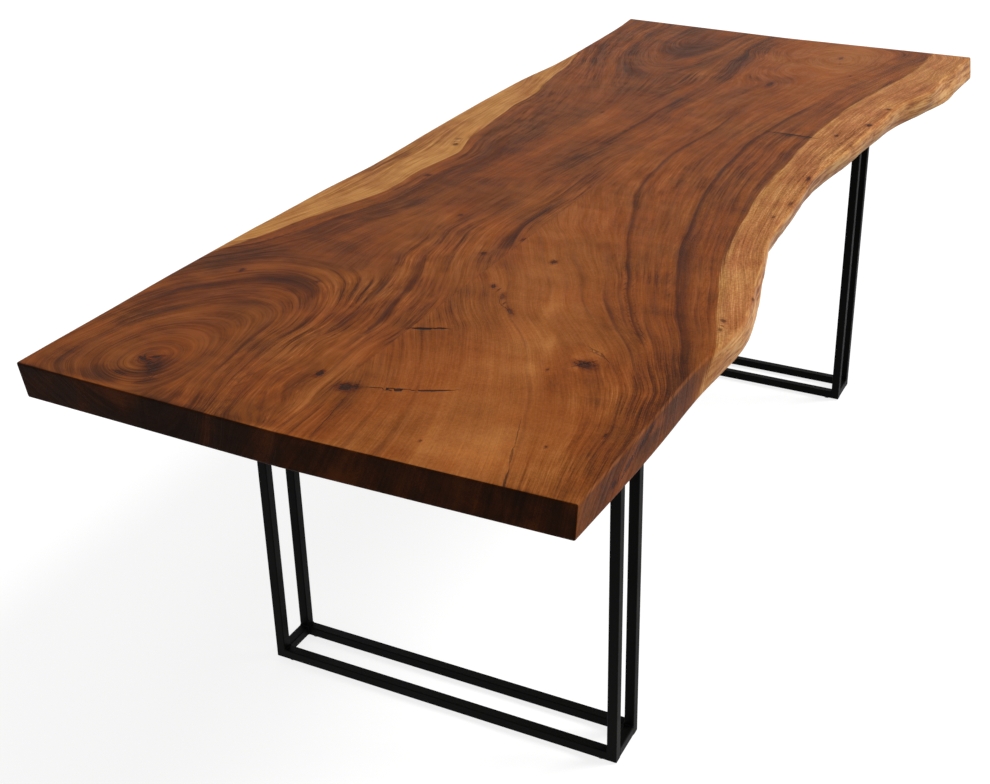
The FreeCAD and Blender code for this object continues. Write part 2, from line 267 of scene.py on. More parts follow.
# %% Floor
FLOOR_SPAN = 40.0      # m
FLOOR_GREY = 0.32      # share of the lamp's light that it throws back
FLOOR_GLOW = 0.80      # strength, towards the viewer only
FLOOR_TURNS = [(-1, -1), (1, -1), (1, 1), (-1, 1)]
floor_corners = [(x * FLOOR_SPAN / 2, y * FLOOR_SPAN / 2, 0) for x, y in FLOOR_TURNS]
floor_mesh = bpy.data.meshes.new("floor")
floor_mesh.from_pydata(floor_corners, [], [(0, 1, 2, 3)])
floor = new_object("floor", floor_mesh)
floor_paint = bpy.data.materials.new("pale_floor")
floor_paint.use_nodes = True
tree = floor_paint.node_tree
tree.nodes.remove(tree.nodes["Principled BSDF"])
matt = add(tree, "ShaderNodeBsdfDiffuse", {"Color": (FLOOR_GREY, FLOOR_GREY, FLOOR_GREY, 1.0)})
glow = add(tree, "ShaderNodeEmission", {"Strength": times(tree, seen_directly(tree), FLOOR_GLOW)})
both = add(tree, "ShaderNodeAddShader", {0: matt.outputs[0], 1: glow.outputs[0]})
feed(tree, tree.nodes["Material Output"].inputs["Surface"], both.outputs[0])
floor_mesh.materials.append(floor_paint)
print("floor:", FLOOR_SPAN, "m square")

# %% [markdown]
# The top is brightest towards its far right corner, so one broad sun stands high on that side. A sun was
# chosen because its light falls alike on both ends of a table more than two metres long.

# %% Lamp
LAMP_DIRECTION = Vector((0.40, -0.60, 0.75))      # from the table towards the lamp
LAMP_STRENGTH = 2.45
LAMP_SPREAD = 22      # degrees, for soft shadows
lamp_data = bpy.data.lights.new("high_lamp", "SUN")
lamp_data.energy = LAMP_STRENGTH
lamp_data.angle = math.radians(LAMP_SPREAD)
lamp = new_object("high_lamp", lamp_data)
lamp.rotation_euler = (-LAMP_DIRECTION).to_track_quat("-Z", "Y").to_euler()
print("lamp:", LAMP_STRENGTH, "over", LAMP_SPREAD, "degrees")

# %% [markdown]
# ## The slab's sizes
# The frame says how thick and how long the slab is, and where the two boards meet.
# What its boxes can't say is written here: the ends aren't square to the length, so each corner lies a few
# millimetres back from the longest point. Where a number differs for the two boards, it is kept by side.

# %% Slab sizes from the frame
left_low, left_high = (np.array(corner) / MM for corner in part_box("slab_board_left"))
right_low = np.array(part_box("slab_board_right")[0]) / MM
TOP = left_high[2]
THICKNESS = left_high[2] - left_low[2]
GLUE_LINE = left_low[1]
NEAR_END = left_low[0]
FAR_END = left_high[0]
HALF_WIDTH = 471.0      # mm, from the middle to the widest line of either side
NEAR_SETBACK = {"left": 13.0, "right": 6.0}      # near corner, back from the near end of the joint
FAR_SETBACK = {"left": 0.0, "right": 25.0}       # far corner, back from the far end of the slab
FAR_SETBACK_AT_JOINT = 28.0
OUTWARD = {"left": 1.0, "right": -1.0}           # the way along Y that a board's live edge faces
print("slab top", round(TOP, 1), "thickness", round(THICKNESS, 1), "glue line at", round(GLUE_LINE, 1))

# %% [markdown]
# The live edges follow the trunk: almost straight on the left, deeply scooped on the right. They could be
# drawn as curves by hand, but a short row of numbers can be checked against the solid board.
# Each station is a share of the length, how far in the rim lies, and how much further in the underside
# lies, both in millimetres.

# %% Live edges: stations
LIVE_EDGE = {
    "left": [
        (0.00, 7, 12), (0.10, 2.5, 10), (0.16, 0, 12), (0.24, 0, 14), (0.29, 2, 13), (0.35, 4, 12),
        (0.41, 11.5, 10), (0.45, 11, 11), (0.50, 7, 12), (0.61, 3.5, 13), (0.68, 4.5, 14),
        (0.72, 8, 12), (0.76, 16.5, 10), (0.81, 20, 11), (0.88, 18, 12), (0.94, 15, 10), (1.00, 7, 12),
    ],
    "right": [
        (0.00, 47, 4), (0.13, 41, 0), (0.18, 39, 1), (0.22, 31, 3), (0.26, 31, 1), (0.30, 49, -3),
        (0.35, 71, 5), (0.40, 93, 15), (0.44, 99, 18), (0.50, 105, 17), (0.56, 112, 18),
        (0.60, 105, 20), (0.64, 94, 20), (0.69, 87, 17), (0.74, 79, 14), (0.80, 64, 8),
        (0.83, 42, 11), (0.86, 26, 9), (0.90, 26, -13), (0.93, 16, -6), (0.965, 13, -8),
        (1.00, 6, -6),
    ],
}
print("stations:", {side: len(stations) for side, stations in LIVE_EDGE.items()})

# %% [markdown]
# Straight lines from station to station would show as corners. A draughtsman's spline bends through all of
# them with the least force, and its bends come from one small set of equations.

# %% A smooth curve through stations
def smooth_curve(places, heights, where):
    """The smooth curve through a row of points, straight at its two ends, at the asked places."""
    places, heights = np.array(places, float), np.array(heights, float)
    gaps = np.diff(places)
    count = len(places)
    bends = np.eye(count)
    pulls = np.zeros(count)
    for i in range(1, count - 1):
        bends[i, i - 1:i + 2] = gaps[i - 1] / 6, (gaps[i - 1] + gaps[i]) / 3, gaps[i] / 6
        pulls[i] = np.diff(heights)[i] / gaps[i] - np.diff(heights)[i - 1] / gaps[i - 1]
    curving = np.linalg.solve(bends, pulls)
    span = np.clip(np.searchsorted(places, where) - 1, 0, count - 2)
    gap = gaps[span]
    after = (where - places[span]) / gap
    before = 1 - after
    straight = before * heights[span] + after * heights[span + 1]
    bend = (before ** 3 - before) * curving[span] + (after ** 3 - after) * curving[span + 1]
    return straight + bend * gap ** 2 / 6


MIDDLE = np.array([0.5])
station_places, station_insets, _ = zip(*LIVE_EDGE["right"])
print("right edge at mid length, in from the widest line:",
      smooth_curve(station_places, station_insets, MIDDLE).round(1), "mm")

# %% [markdown]
# ## The skin of the waney sides
# Under the bark a trunk isn't smooth: it has long swellings, small ripples and a few pits.
# The sides could be sculpted by hand, but smooth random lumps in three sizes give the same look and can be
# kept exactly inside the size of the CAD model. The near part of the right side was sawn straight.

# %% Lumps
def lumps(along, down, along_pitch, down_pitch, seed):
    """Smooth random heights from -1 to 1, in lumps of about the given length and depth."""
    u, v = along / along_pitch, down / down_pitch
    u, v = u - u.min(), v - v.min()
    i, j = u.astype(int), v.astype(int)
    table = np.random.default_rng(seed).uniform(-1, 1, (i.max() + 2, j.max() + 2))
    a, b = u - i, v - j
    a, b = a * a * (3 - 2 * a), b * b * (3 - 2 * b)
    first = table[i, j] * (1 - b) + table[i, j + 1] * b
    second = table[i + 1, j] * (1 - b) + table[i + 1, j + 1] * b
    return first * (1 - a) + second * a


def fade(value, low, high):
    """0 below low, 1 above high, and a soft step between."""
    share = np.clip((value - low) / (high - low), 0, 1)
    return share * share * (3 - 2 * share)


print("lumps at three places:", lumps(np.arange(3.0), np.arange(3.0), 2, 2, 11).round(2))

# %% [markdown]
# Lumps alone would wander off the live edge. The reach of a side adds them to the plain curve: little at
# the rim and the underside, most half way down, and none where the board was sawn. Past the knee of a
# scooped stretch the side leans in faster, as the trunk does under its widest line.

# %% The reach of a side
WILD_FROM = {"left": (0.02, 0.10), "right": (0.16, 0.24)}      # shares of the length, here and below
REACH_LIMIT = {"left": left_high[1], "right": -right_low[1]}
KNEE_FROM = {"left": (0.30, 0.45), "right": (0.58, 0.68)}
KNEE_TO = {"left": (0.60, 0.70), "right": (0.84, 0.90)}
KNEE_DOWN = 0.42          # how far down the side its ridge runs, as a share of the thickness
LEAN_AT_KNEE = 0.1        # how much of the side's lean lies above that ridge
CALM_FROM = (0.95, 1.0)   # shares of the length between which the lumps calm down
CALM_AT_FAR_END = 0.6     # share of the lumps that is lost there
BELLY = 3.0               # mm that the side bulges at half depth
LUMP_SIZES = [(2.2, 95, 40), (1.3, 34, 17), (0.5, 13, 7), (0.3, 7, 5)]      # height, length and depth, mm
FIRST_SEED = 11


def side_lumps(share, depth):
    """The height of the lumps on a live side, in mm."""
    along = share * (FAR_END - NEAR_END)
    return sum(height * lumps(along, depth, long, deep, seed)
               for seed, (height, long, deep) in enumerate(LUMP_SIZES, FIRST_SEED))


def reach(side, share, depth):
    """How far a board's live edge stands out from the table's middle line, with its lumps, in mm."""
    places, insets, undercuts = zip(*LIVE_EDGE[side])
    down = np.clip(depth / THICKNESS, 0, 1)
    knee = fade(share, *KNEE_FROM[side]) * (1 - fade(share, *KNEE_TO[side]))
    over = LEAN_AT_KNEE * down / KNEE_DOWN
    under = LEAN_AT_KNEE + (1 - LEAN_AT_KNEE) * (down - KNEE_DOWN) / (1 - KNEE_DOWN)
    bent = np.where(down < KNEE_DOWN, over, under)
    lean_in = smooth_curve(places, undercuts, share) * (down * (1 - knee) + bent * knee)
    plain = HALF_WIDTH - smooth_curve(places, insets, share) - lean_in
    wild = fade(share, *WILD_FROM[side]) * (1 - CALM_AT_FAR_END * fade(share, *CALM_FROM))
    inner = np.sin(math.pi * down)
    skin = wild * (BELLY * inner + side_lumps(share, depth) * inner ** 0.5)
    return np.minimum(plain + skin, REACH_LIMIT[side])


print("right side, mid length, reach:", reach("right", MIDDLE, np.array([THICKNESS / 2])).round(1), "mm")

# %% [markdown]
# ## A board as a fine net
# The board could be a few faces, but its figure has to follow bent growth rings, and a net of points some
# 5 mm apart can carry that as numbers on its points. The net starts as the skin of a plain box, with rows
# close together near the edges. Each arris is then rolled onto an arc, and the box is pulled to its outline.

# %% Rows of the net
def rows(length, first, last, pitch):
    """Places of the rows along one side of the box: given ones near its ends, even ones between."""
    last = [length - place for place in reversed(last)]
    count = max(1, round((last[0] - first[-1]) / pitch))
    middle = np.linspace(first[-1], last[0], count + 1)[1:-1]
    return np.array([*first, *middle, *last])


END_ROWS = [0, 1, 2, 3.5, 6]              # mm in from a sawn end
EDGE_ROWS = [0, 1, 2.5, 4.5, 7, 10]       # mm in from a long edge
PITCH = 5.6                               # mm, about, between all other rows


def box_net(length, width, depth):
    """The skin of a box as points (along, across, down) and faces, with no point used twice."""
    lines = (
        rows(length, END_ROWS, END_ROWS, PITCH),
        rows(width, [0], EDGE_ROWS, PITCH),
        rows(depth, EDGE_ROWS, EDGE_ROWS, PITCH),
    )
    counts = [len(line) for line in lines]
    skin = np.zeros(counts, bool)
    for axis in range(3):
        ends = np.take(skin.swapaxes(0, axis), [0, -1], 0)
        skin.swapaxes(0, axis)[[0, -1]] = np.ones_like(ends)
    number = np.full(counts, -1)
    number[skin] = np.arange(skin.sum())
    points = np.stack([line[index] for line, index in zip(lines, np.nonzero(skin))], 1)
    sheets = [
        (number[:, :, 0], True), (number[:, :, -1], False), (number[0], True),
        (number[-1], False), (number[:, 0, :], False), (number[:, -1, :], True),
    ]
    faces = []
    for sheet, forward in sheets:
        corners = [sheet[:-1, :-1], sheet[1:, :-1], sheet[1:, 1:], sheet[:-1, 1:]]
        quads = np.stack([corner.ravel() for corner in corners], 1)
        faces.append(quads if forward else quads[:, ::-1])
    return points, np.concatenate(faces)


print("points of a small box:", len(box_net(60.0, 40.0, 30.0)[0]))

# %% [markdown]
# Hands and sandpaper have taken the sharpness off the edges. A Bevel modifier would do it, but the numbers
# on the points have to survive, so the points near an edge are moved onto an arc instead.

# %% Rolled arrises
ARRIS = 3.0                                   # mm, the radius on every edge
ARRIS_WORN = {"left": 2.0, "right": 5.0}      # mm more on the rim of a live side
ARRIS_WORN_BELOW = 2.0                        # mm more on its lower edge
CRISP_FROM = (0.965, 0.99)                    # shares of the length where that wear ends, at the saw cut


def roll_arrises(points, size, live_radius, low_radius):
    """Moves the points near the box's edges onto arcs. The glued edge stays square."""
    length, width, depth = size
    along, across, down = points.T
    roll = np.where(down < depth / 2, live_radius, low_radius)
    inner = np.stack([
        np.clip(along, ARRIS, length - ARRIS),
        np.minimum(across, width - roll),
        np.clip(down, roll, depth - roll),
    ], 1)
    radii = np.stack([np.full_like(roll, ARRIS), roll, roll], 1)
    out = (points - inner) / radii
    square = np.abs(out).max(1, keepdims=True)
    round_ = np.linalg.norm(out, axis=1, keepdims=True)
    pull = np.divide(square, round_, out=np.ones_like(square), where=round_ > 0)
    return inner + out * pull * radii


def board_net(side):
    """One board: its points in mm, how deep each lies, its faces, and its place in the plain box."""
    size = (FAR_END - NEAR_END, HALF_WIDTH, THICKNESS)
    points, faces = box_net(*size)
    share = points[:, 0] / size[0]
    wild = fade(share, *WILD_FROM[side]) * (1 - fade(share, *CRISP_FROM))
    soft = roll_arrises(points, size, ARRIS + ARRIS_WORN[side] * wild, ARRIS + ARRIS_WORN_BELOW * wild)
    share, out, down = soft[:, 0] / size[0], soft[:, 1] / size[1], soft[:, 2]
    start = NEAR_END + out * NEAR_SETBACK[side]
    end = FAR_END - FAR_SETBACK_AT_JOINT * (1 - out) - FAR_SETBACK[side] * out
    edge = OUTWARD[side] * reach(side, np.clip(share, 0, 1), down)
    x = start + share * (end - start)
    y = GLUE_LINE + out * (edge - GLUE_LINE)
    z = TOP - down
    if side == "right":
        faces = faces[:, ::-1]
    return np.stack([x, y, z], 1), faces, points, size


print("rows along a board:", len(rows(FAR_END - NEAR_END, END_ROWS, END_ROWS, PITCH)))

# %% [markdown]
# ## The figure: growth rings as a map
# A board's figure is where the sawn face cuts the tree's rings. A made-up noise never bends like that, so
# the rings are drawn as a map: rows of points, in mm, that lie on one ring, with the ring's number.
# A thin plate bent through all of those heights gives a number at every other point, and it never
# creases. The left board has a knot eye and a horseshoe, and the right one sweeps past a crotch.

# %% Ring lines of the left board
LEFT_RINGS = [
    (0, [(-1058, 298)]),
    (28, [(-1092, 298), (-1056, 328), (-1008, 296), (-1052, 266)]),
    (60, [(-1135, 300), (-1110, 352), (-1050, 372), (-970, 350), (-938, 292), (-970, 245), (-1035, 226),
          (-1110, 240)]),
    (100, [(-1148, 380), (-1124, 410), (-1070, 419), (-1010, 410), (-902, 374), (-836, 314), (-827, 272),
           (-860, 218), (-938, 204), (-1040, 188), (-1106, 170), (-1150, 155)]),
    (140, [(-834, 432), (-786, 386), (-738, 338), (-718, 282), (-746, 212), (-810, 176), (-890, 163),
           (-1026, 157), (-1090, 142), (-1145, 126)]),
    (180, [(-722, 446), (-658, 386), (-622, 320), (-610, 258), (-650, 190), (-738, 148), (-826, 128),
           (-930, 134), (-1090, 119), (-1145, 105)]),
    (197, [(-600, 386), (-480, 346), (-384, 306), (-280, 294), (-184, 286), (-104, 266), (10, 266),
           (150, 264), (300, 272), (430, 292), (540, 318), (660, 354), (740, 380), (836, 398), (930, 412),
           (1050, 420), (1140, 422)]),
    (190, [(-1136, 98), (-1022, 122), (-902, 124), (-824, 114), (-716, 131), (-662, 143), (-600, 165),
           (-480, 180), (-400, 196), (-328, 218), (-250, 250)]),
    (215, [(-1150, 24), (-1088, 42), (-980, 59), (-900, 60), (-824, 58), (-752, 77), (-662, 94), (-560, 132),
           (-440, 154), (-336, 142), (-240, 132), (-120, 135), (-20, 114), (94, 98), (230, 80), (334, 68),
           (430, 62), (526, 54), (636, 42), (740, 46), (850, 60), (960, 66), (1060, 58), (1130, 50)]),
    (240, [(-600, 436), (-496, 410), (-400, 382), (-336, 362), (-264, 352), (-184, 356), (-120, 350),
           (-48, 342), (30, 362), (150, 374), (286, 384), (398, 382), (470, 398), (560, 410), (660, 420),
           (764, 444)]),
    (300, [(-440, 464), (-300, 460), (-150, 455), (50, 456), (250, 459), (450, 458)]),
    (246, [(-1150, 12), (-900, 16), (-700, 18), (640, 10), (900, 14), (1120, 16)]),
    (290, [(-496, 14), (-440, 26), (-360, 40), (-264, 34), (-190, 28), (-80, 30), (40, 30)]),
    (275, [(200, 12), (400, 10)]),
    (180, [(200, 190), (330, 180)]),
    (165, [(560, 236), (640, 262), (700, 288), (764, 312), (860, 334), (948, 344), (1110, 342), (520, 172),
           (600, 134), (732, 128), (820, 106), (948, 94), (1116, 82)]),
    (110, [(774, 212), (812, 240), (866, 268), (940, 284), (1040, 282), (1125, 272), (822, 186), (890, 158),
           (980, 134), (1128, 112)]),
    (62, [(990, 220), (1100, 210)]),
]
print("ring lines of the left board:", len(LEFT_RINGS))

# %% [markdown]
# The right board came from lower in the fork of the tree: its rings cross the near end almost square,
# then turn and run with the scooped edge. Each line is again a ring number and the points on it.

# %% Ring lines of the right board
RIGHT_RINGS = [
    (0, [(-1158, 2)]),
    (20, [(-1158, -38), (-1080, -30), (-1010, -20), (-960, 0)]),
    (90, [(-1158, -130), (-1050, -112), (-930, -70), (-810, -4)]),
    (180, [(-1158, -230), (-1040, -200), (-900, -150), (-760, -80), (-640, 0)]),
    (270, [(-1158, -320), (-1074, -296), (-978, -262), (-860, -205), (-722, -110), (-642, -62), (-530, 0)]),
    (335, [(-1158, -380), (-1000, -345), (-880, -300), (-760, -225), (-600, -120), (-480, -50), (-390, 0)]),
    (385, [(-1150, -412), (-980, -395), (-860, -362), (-738, -290), (-600, -182), (-456, -102), (-336, -28),
           (-266, 2)]),
    (430, [(-1000, -425), (-850, -405), (-738, -345), (-600, -264), (-496, -218), (-400, -178), (-280, -130),
           (-200, -106), (-120, -78), (10, -60), (134, -58), (214, -69), (310, -80), (398, -86), (462, -90)]),
    (405, [(-150, 2), (0, 5), (150, 5)]),
    (400, [(300, 4), (500, 4), (700, 4), (900, 4), (1120, 4)]),
    (500, [(-850, -432), (-740, -395), (-600, -334), (-496, -298), (-400, -266), (-328, -246), (-256, -232),
           (-184, -214), (-88, -196), (10, -184), (94, -176), (270, -174), (350, -183), (430, -194),
           (494, -208), (572, -224), (724, -252), (820, -280), (916, -306), (1012, -330), (1110, -352)]),
    (590, [(-640, -440), (-560, -410), (-460, -380), (-300, -330), (-148, -306), (-50, -291), (150, -285),
           (310, -282), (460, -288), (560, -296), (700, -318), (830, -344), (930, -364), (1125, -372)]),
    (665, [(-300, -392), (-148, -370), (-20, -362), (120, -357), (250, -360), (380, -374), (520, -386),
           (660, -404), (780, -440), (900, -450), (1120, -458)]),
    (470, [(1000, -292), (1110, -300)]),
    (628, [(900, -408), (1010, -412), (1125, -416)]),
    (408, [(975, -172)]),
    (422, [(1040, -175), (975, -215), (905, -175), (975, -120)]),
    (440, [(1105, -180), (1070, -245), (960, -262), (850, -225), (760, -170), (830, -100), (980, -72),
           (1085, -100)]),
    (412, [(600, -60), (690, -84)]),
]
print("ring lines of the right board:", len(RIGHT_RINGS))

# %% [markdown]
# A thin metal plate, pushed up at a few pins, bends as little as it can between them. The same rule is a
# small set of equations, one for each pin, and numpy solves it at once.

# %% Bending a thin plate through the ring lines
RINGS = {"left": LEFT_RINGS, "right": RIGHT_RINGS}
PLATE_EASE = {"left": 3e-4, "right": 1e-3}      # lets a plate miss its points a little, so it stays smooth
METRE = 1000.0        # mm


def plate_pull(distance):
    """How strongly a point of the plate pulls at that distance."""
    return distance ** 2 * np.log(np.maximum(distance, 1e-9))


def bend_plate(ring_lines, ease):
    """A function that gives the ring number at any x and y, in mm."""
    anchors = np.array([point for _, line in ring_lines for point in line]) / METRE
    rings = np.array([ring for ring, line in ring_lines for _ in line], float)
    count = len(anchors)
    system = np.zeros((count + 3, count + 3))
    system[:count, :count] = plate_pull(np.linalg.norm(anchors[:, None] - anchors[None], axis=2))
    system[:count, :count] += ease * np.eye(count)
    system[:count, count] = system[count, :count] = 1
    system[:count, count + 1:] = anchors
    system[count + 1:, :count] = anchors.T
    weights = np.linalg.solve(system, np.concatenate([rings, np.zeros(3)]))

    def ring_at(x, y):
        """The ring number at each point."""
        spots = np.stack([x, y], 1) / METRE
        value = weights[count] + spots @ weights[count + 1:]
        for anchor, weight in zip(anchors, weights):
            value += weight * plate_pull(np.hypot(spots[:, 0] - anchor[0], spots[:, 1] - anchor[1]))
        return value

    return ring_at


ring_plates = {side: bend_plate(RINGS[side], PLATE_EASE[side]) for side in RINGS}
print("ring at the horseshoe:", ring_plates["left"](np.array([-718.0]), np.array([282.0])).round(1))

# %% [markdown]
# ## What else shows in the wood
# Sapwood is the pale young wood under the bark. It starts at a sharp line, which keeps to one ring for most
# of its way. Where the rings lie almost flat on the face their map says little about the fibres, so there
# the fibres follow a second map, which runs evenly between two lines that keep to rings too.

# %% Sapwood lines and fibre lines
def along_ring(side, number, from_x, to_x):
    """The drawn points of one ring between two places along the board."""
    line = dict(RINGS[side])[number]
    return [spot for spot in line if from_x <= spot[0] <= to_x]


SAPWOOD_LINE = {
    "left": [(-1200, 540), (-690, 464), *along_ring("left", 240, -600, 764), (830, 466), (1200, 540)],
    "right": [(-1200, -560), (-800, -458), (-720, -440), (-640, -420), (-560, -391), (-460, -360),
              (-380, -338), (-300, -322), (-148, -302), *along_ring("right", 590, -50, 830), (930, -362),
              (1125, -372), (1200, -374)],
}
FIBRE_LINES = {
    "left": ([(-700, 100), (-560, 140), *along_ring("left", 215, -440, 526), (700, 44)],
             [(-700, 400), *along_ring("left", 197, -600, 540), (700, 366)]),
    "right": ([(-1200, -580), (-740, -395), (-400, -266), (-184, -214), (10, -184), (270, -174),
               (430, -194), *along_ring("right", 500, 572, 1012), (1200, -372)],
              [(-1200, 4), (1200, 4)]),
}
FIBRE_SPAN = 170.0      # what the second map counts from its low line to its high one


def sapwood(side, x, y):
    """How far a point lies outside the sapwood line, in mm: more than 0 is sapwood."""
    line_x, line_y = zip(*SAPWOOD_LINE[side])
    return OUTWARD[side] * (y - smooth_curve(line_x, line_y, x))


def fibre(side, x, y):
    """A number that stays the same along a fibre, in mm."""
    low, high = (np.interp(x, *zip(*line)) for line in FIBRE_LINES[side])
    return FIBRE_SPAN * (y - low) / (high - low)


print("sapwood at mid length, right:", sapwood("right", np.array([0.0]), np.array([-320.0])).round(1))

# %% [markdown]
# ## Marks in the wood
# Dark veins and broad bands run along a ring for part of its length. Painting them as an image would tie
# them to one view of one face. A list of rings lets them bend with the figure and turn over the edges.
# Each row is a ring, its half width in rings, the x and y it runs between, and its strength.

# %% Bands and veins
BANDS = {
    "left": [
        (135, 9, -980, -560, 200, 430, 1.0), (97, 7, -1000, -700, 200, 345, 0.75),
        (34, 9, -1400, -1000, 230, 460, 0.6), (206, 10, -640, 120, 240, 460, 0.90),
        (222, 12, 740, 1400, 5, 110, 0.95), (162, 10, 560, 1400, 60, 400, 0.80),
        (105, 8, 760, 1400, 80, 330, 0.80), (216, 9, 60, 600, 20, 180, 0.60),
    ],
    "right": [
        (508, 14, -900, -240, -460, -200, 1.0), (580, 9, -760, 1400, -460, -120, 0.75),
        (504, 10, 620, 1400, -460, -120, 0.60), (450, 8, -860, -560, -460, 0, 0.55),
    ],
}
VEINS = {
    "left": [
        (6, 5, -1400, -1000, 150, 460, 0.45), (22, 3, -1400, -980, 150, 460, 0.40),
        (44, 3, -1400, -1000, 240, 460, 0.45), (64, 3, -1400, -960, 150, 460, 0.35),
        (100, 4, -1400, -780, 140, 460, 0.7), (112, 2, -1400, -900, 150, 460, 0.30),
        (122, 2, -1400, -740, 100, 300, 0.30), (142, 3, -1400, -760, 100, 470, 0.60),
        (152, 2, -1400, -900, 60, 300, 0.45), (162, 3, -1400, -940, 60, 300, 0.60),
        (172, 2, -1400, -760, 60, 180, 0.45), (184, 3, -1400, -700, 60, 160, 0.55),
        (194, 4, -980, -500, 60, 300, 0.85), (204, 2, -1400, -600, 40, 300, 0.45),
        (216, 4, -960, -480, 20, 460, 1.0), (216, 2, -1400, -900, 20, 460, 0.45),
        (207, 2, -1400, -820, 20, 460, 0.50), (226, 2, -1400, -800, 20, 460, 0.40),
        (206, 3, -600, 60, 240, 460, 0.60), (226, 4, -620, 500, 280, 460, 0.45),
        (291, 6, -540, -170, 5, 90, 1.0), (280, 3, -260, 40, 5, 90, 0.50),
        (216, 6, -80, 120, 20, 180, 0.95), (213, 5, 100, 600, 20, 180, 1.0),
        (203, 3, -60, 260, 20, 180, 0.45), (232, 4, 560, 900, 5, 110, 0.60),
        (172, 3, 540, 1400, 60, 400, 0.55), (158, 2, 620, 1400, 60, 400, 0.45),
        (109, 3, 760, 1400, 80, 330, 0.60), (88, 3, 860, 1400, 100, 320, 0.50),
        (203, 5, 600, 1400, 340, 460, 0.60), (190, 3, 700, 1400, 340, 460, 0.45),
        (228, 4, 480, 1400, 300, 460, 0.50),
    ],
    "right": [
        (431, 2.6, -800, 440, -400, 0, 0.9), (502, 5.5, -640, 640, -460, -120, 1.0),
        (484, 3, -820, -200, -460, -120, 0.50), (466, 3, -700, 600, -460, -60, 0.45),
        (476, 2, -400, 500, -460, -60, 0.30), (520, 3, -780, 300, -460, -120, 0.50),
        (536, 4, -760, 700, -460, -120, 0.55), (556, 3, -740, 200, -460, -120, 0.50),
        (576, 3, -760, 1400, -460, -120, 0.60), (504, 3, 700, 1400, -460, -120, 0.60),
        (528, 3, 700, 1400, -460, -120, 0.50), (406, 4, -900, -500, -460, 0, 0.75),
        (420, 3, -880, -420, -460, 0, 0.45), (448, 4, -860, -560, -460, 0, 0.70),
        (382, 3, -760, -380, -400, 0, 0.40), (340, 2, -700, -200, -400, 0, 0.25),
        (275, 3, -1400, -400, -400, 0, 0.35), (100, 4, -1400, -760, -200, 10, 0.30),
        (60, 3, -1400, -860, -200, 10, 0.25), (606, 2, -600, 1400, -470, -120, 0.35),
        (616, 2.5, -600, 1400, -470, -120, 0.50), (633, 3, -600, 1400, -470, -120, 0.50),
        (652, 2.5, -600, 1400, -470, -120, 0.40),
    ],
}
print("veins and bands:", sum(map(len, [*BANDS.values(), *VEINS.values()])))

# %% [markdown]
# A knot is where a branch left the trunk: a dark core with a browner halo. The tree has large ones at the
# eye and at the fork, and pin knots all over. Each row is a place, two radii, an angle in degrees and a
# strength. On the sides, y goes on counting down the face.

# %% Knots
KNOTS = {
    "left": [
        (-1060, 306, 9, 2.6, 70, 1.0), (-1047, 293, 9, 3, -50, 1.0), (-1068, 288, 6, 2.4, 20, 0.8),
        (-1108, 308, 11, 3.5, 80, 0.7), (-1082, 270, 15, 4, 14, 0.5), (-1114, 258, 12, 3, -40, 0.4),
        (-734, 372, 6, 4, 0, 0.8), (-992, 48, 8, 5, 0, 1.0), (-722, 232, 5, 4, 0, 0.5),
        (-200, 326, 6, 5, 0, 0.7), (-10, 370, 7, 5, 20, 0.7), (24, 382, 6, 5, 0, 0.4),
        (-364, 166, 5, 4, 0, 0.5), (-506, 44, 6, 5, 0, 0.7), (-422, 8, 8, 5, 0, 0.7),
        (322, 186, 5, 4, 0, 0.4), (-1010, 4, 8, 4, 0, 0.9), (-812, 5, 5, 4, 90, 0.9),
    ],
    "right": [
        (-1012, -8, 11, 9, 80, 1.0), (-1005, -21, 4, 3, 70, 0.8), (-812, -280, 13, 10, 70, 0.75),
        (-986, -388, 6, 2, 0, 0.8), (-848, -239, 4, 2, 0, 0.6), (-1098, -176, 3, 2, 0, 0.5),
        (-1044, -330, 3, 2, 0, 0.6), (-620, -34, 7, 4, 30, 0.8), (-490, -80, 7, 5, 0, 0.8),
        (-590, -412, 7, 4, 30, 0.6), (-622, -418, 5, 3, 20, 0.5), (-488, -430, 6, 4, 0, 0.6),
        (-136, -350, 8, 3, 0, 0.5), (-60, -358, 9, 3, 0, 0.5), (88, -350, 11, 3, 5, 0.9),
        (372, -328, 6, 4, 0, 0.8),
        (472, -372, 8, 5, 0, 0.9), (604, -384, 6, 4, 0, 0.7), (690, -84, 20, 6, 0, 0.6),
        (986, -174, 10, 5, 0, 0.5), (836, -236, 5, 3, 0, 0.5), (932, -186, 4, 3, 0, 0.4),
        (-650, -66, 12, 4, 24, 0.5), (-1004, -453, 17, 4.5, 22, 0.75), (-1047, -456, 6, 4, 0, 0.7),
        (-944, -442, 26, 5, 14, 0.7), (-694, -102, 12, 3, 40, 0.6),
    ],
}
print("knots:", sum(map(len, KNOTS.values())))

# %% [markdown]
# Checks are cracks that opened as the slab dried, and black filler fills them level. Cutting them into the
# mesh would tear it, and nobody could feel them, so each is a dark line: its half width in millimetres, its
# darkness, and its points from end to end.

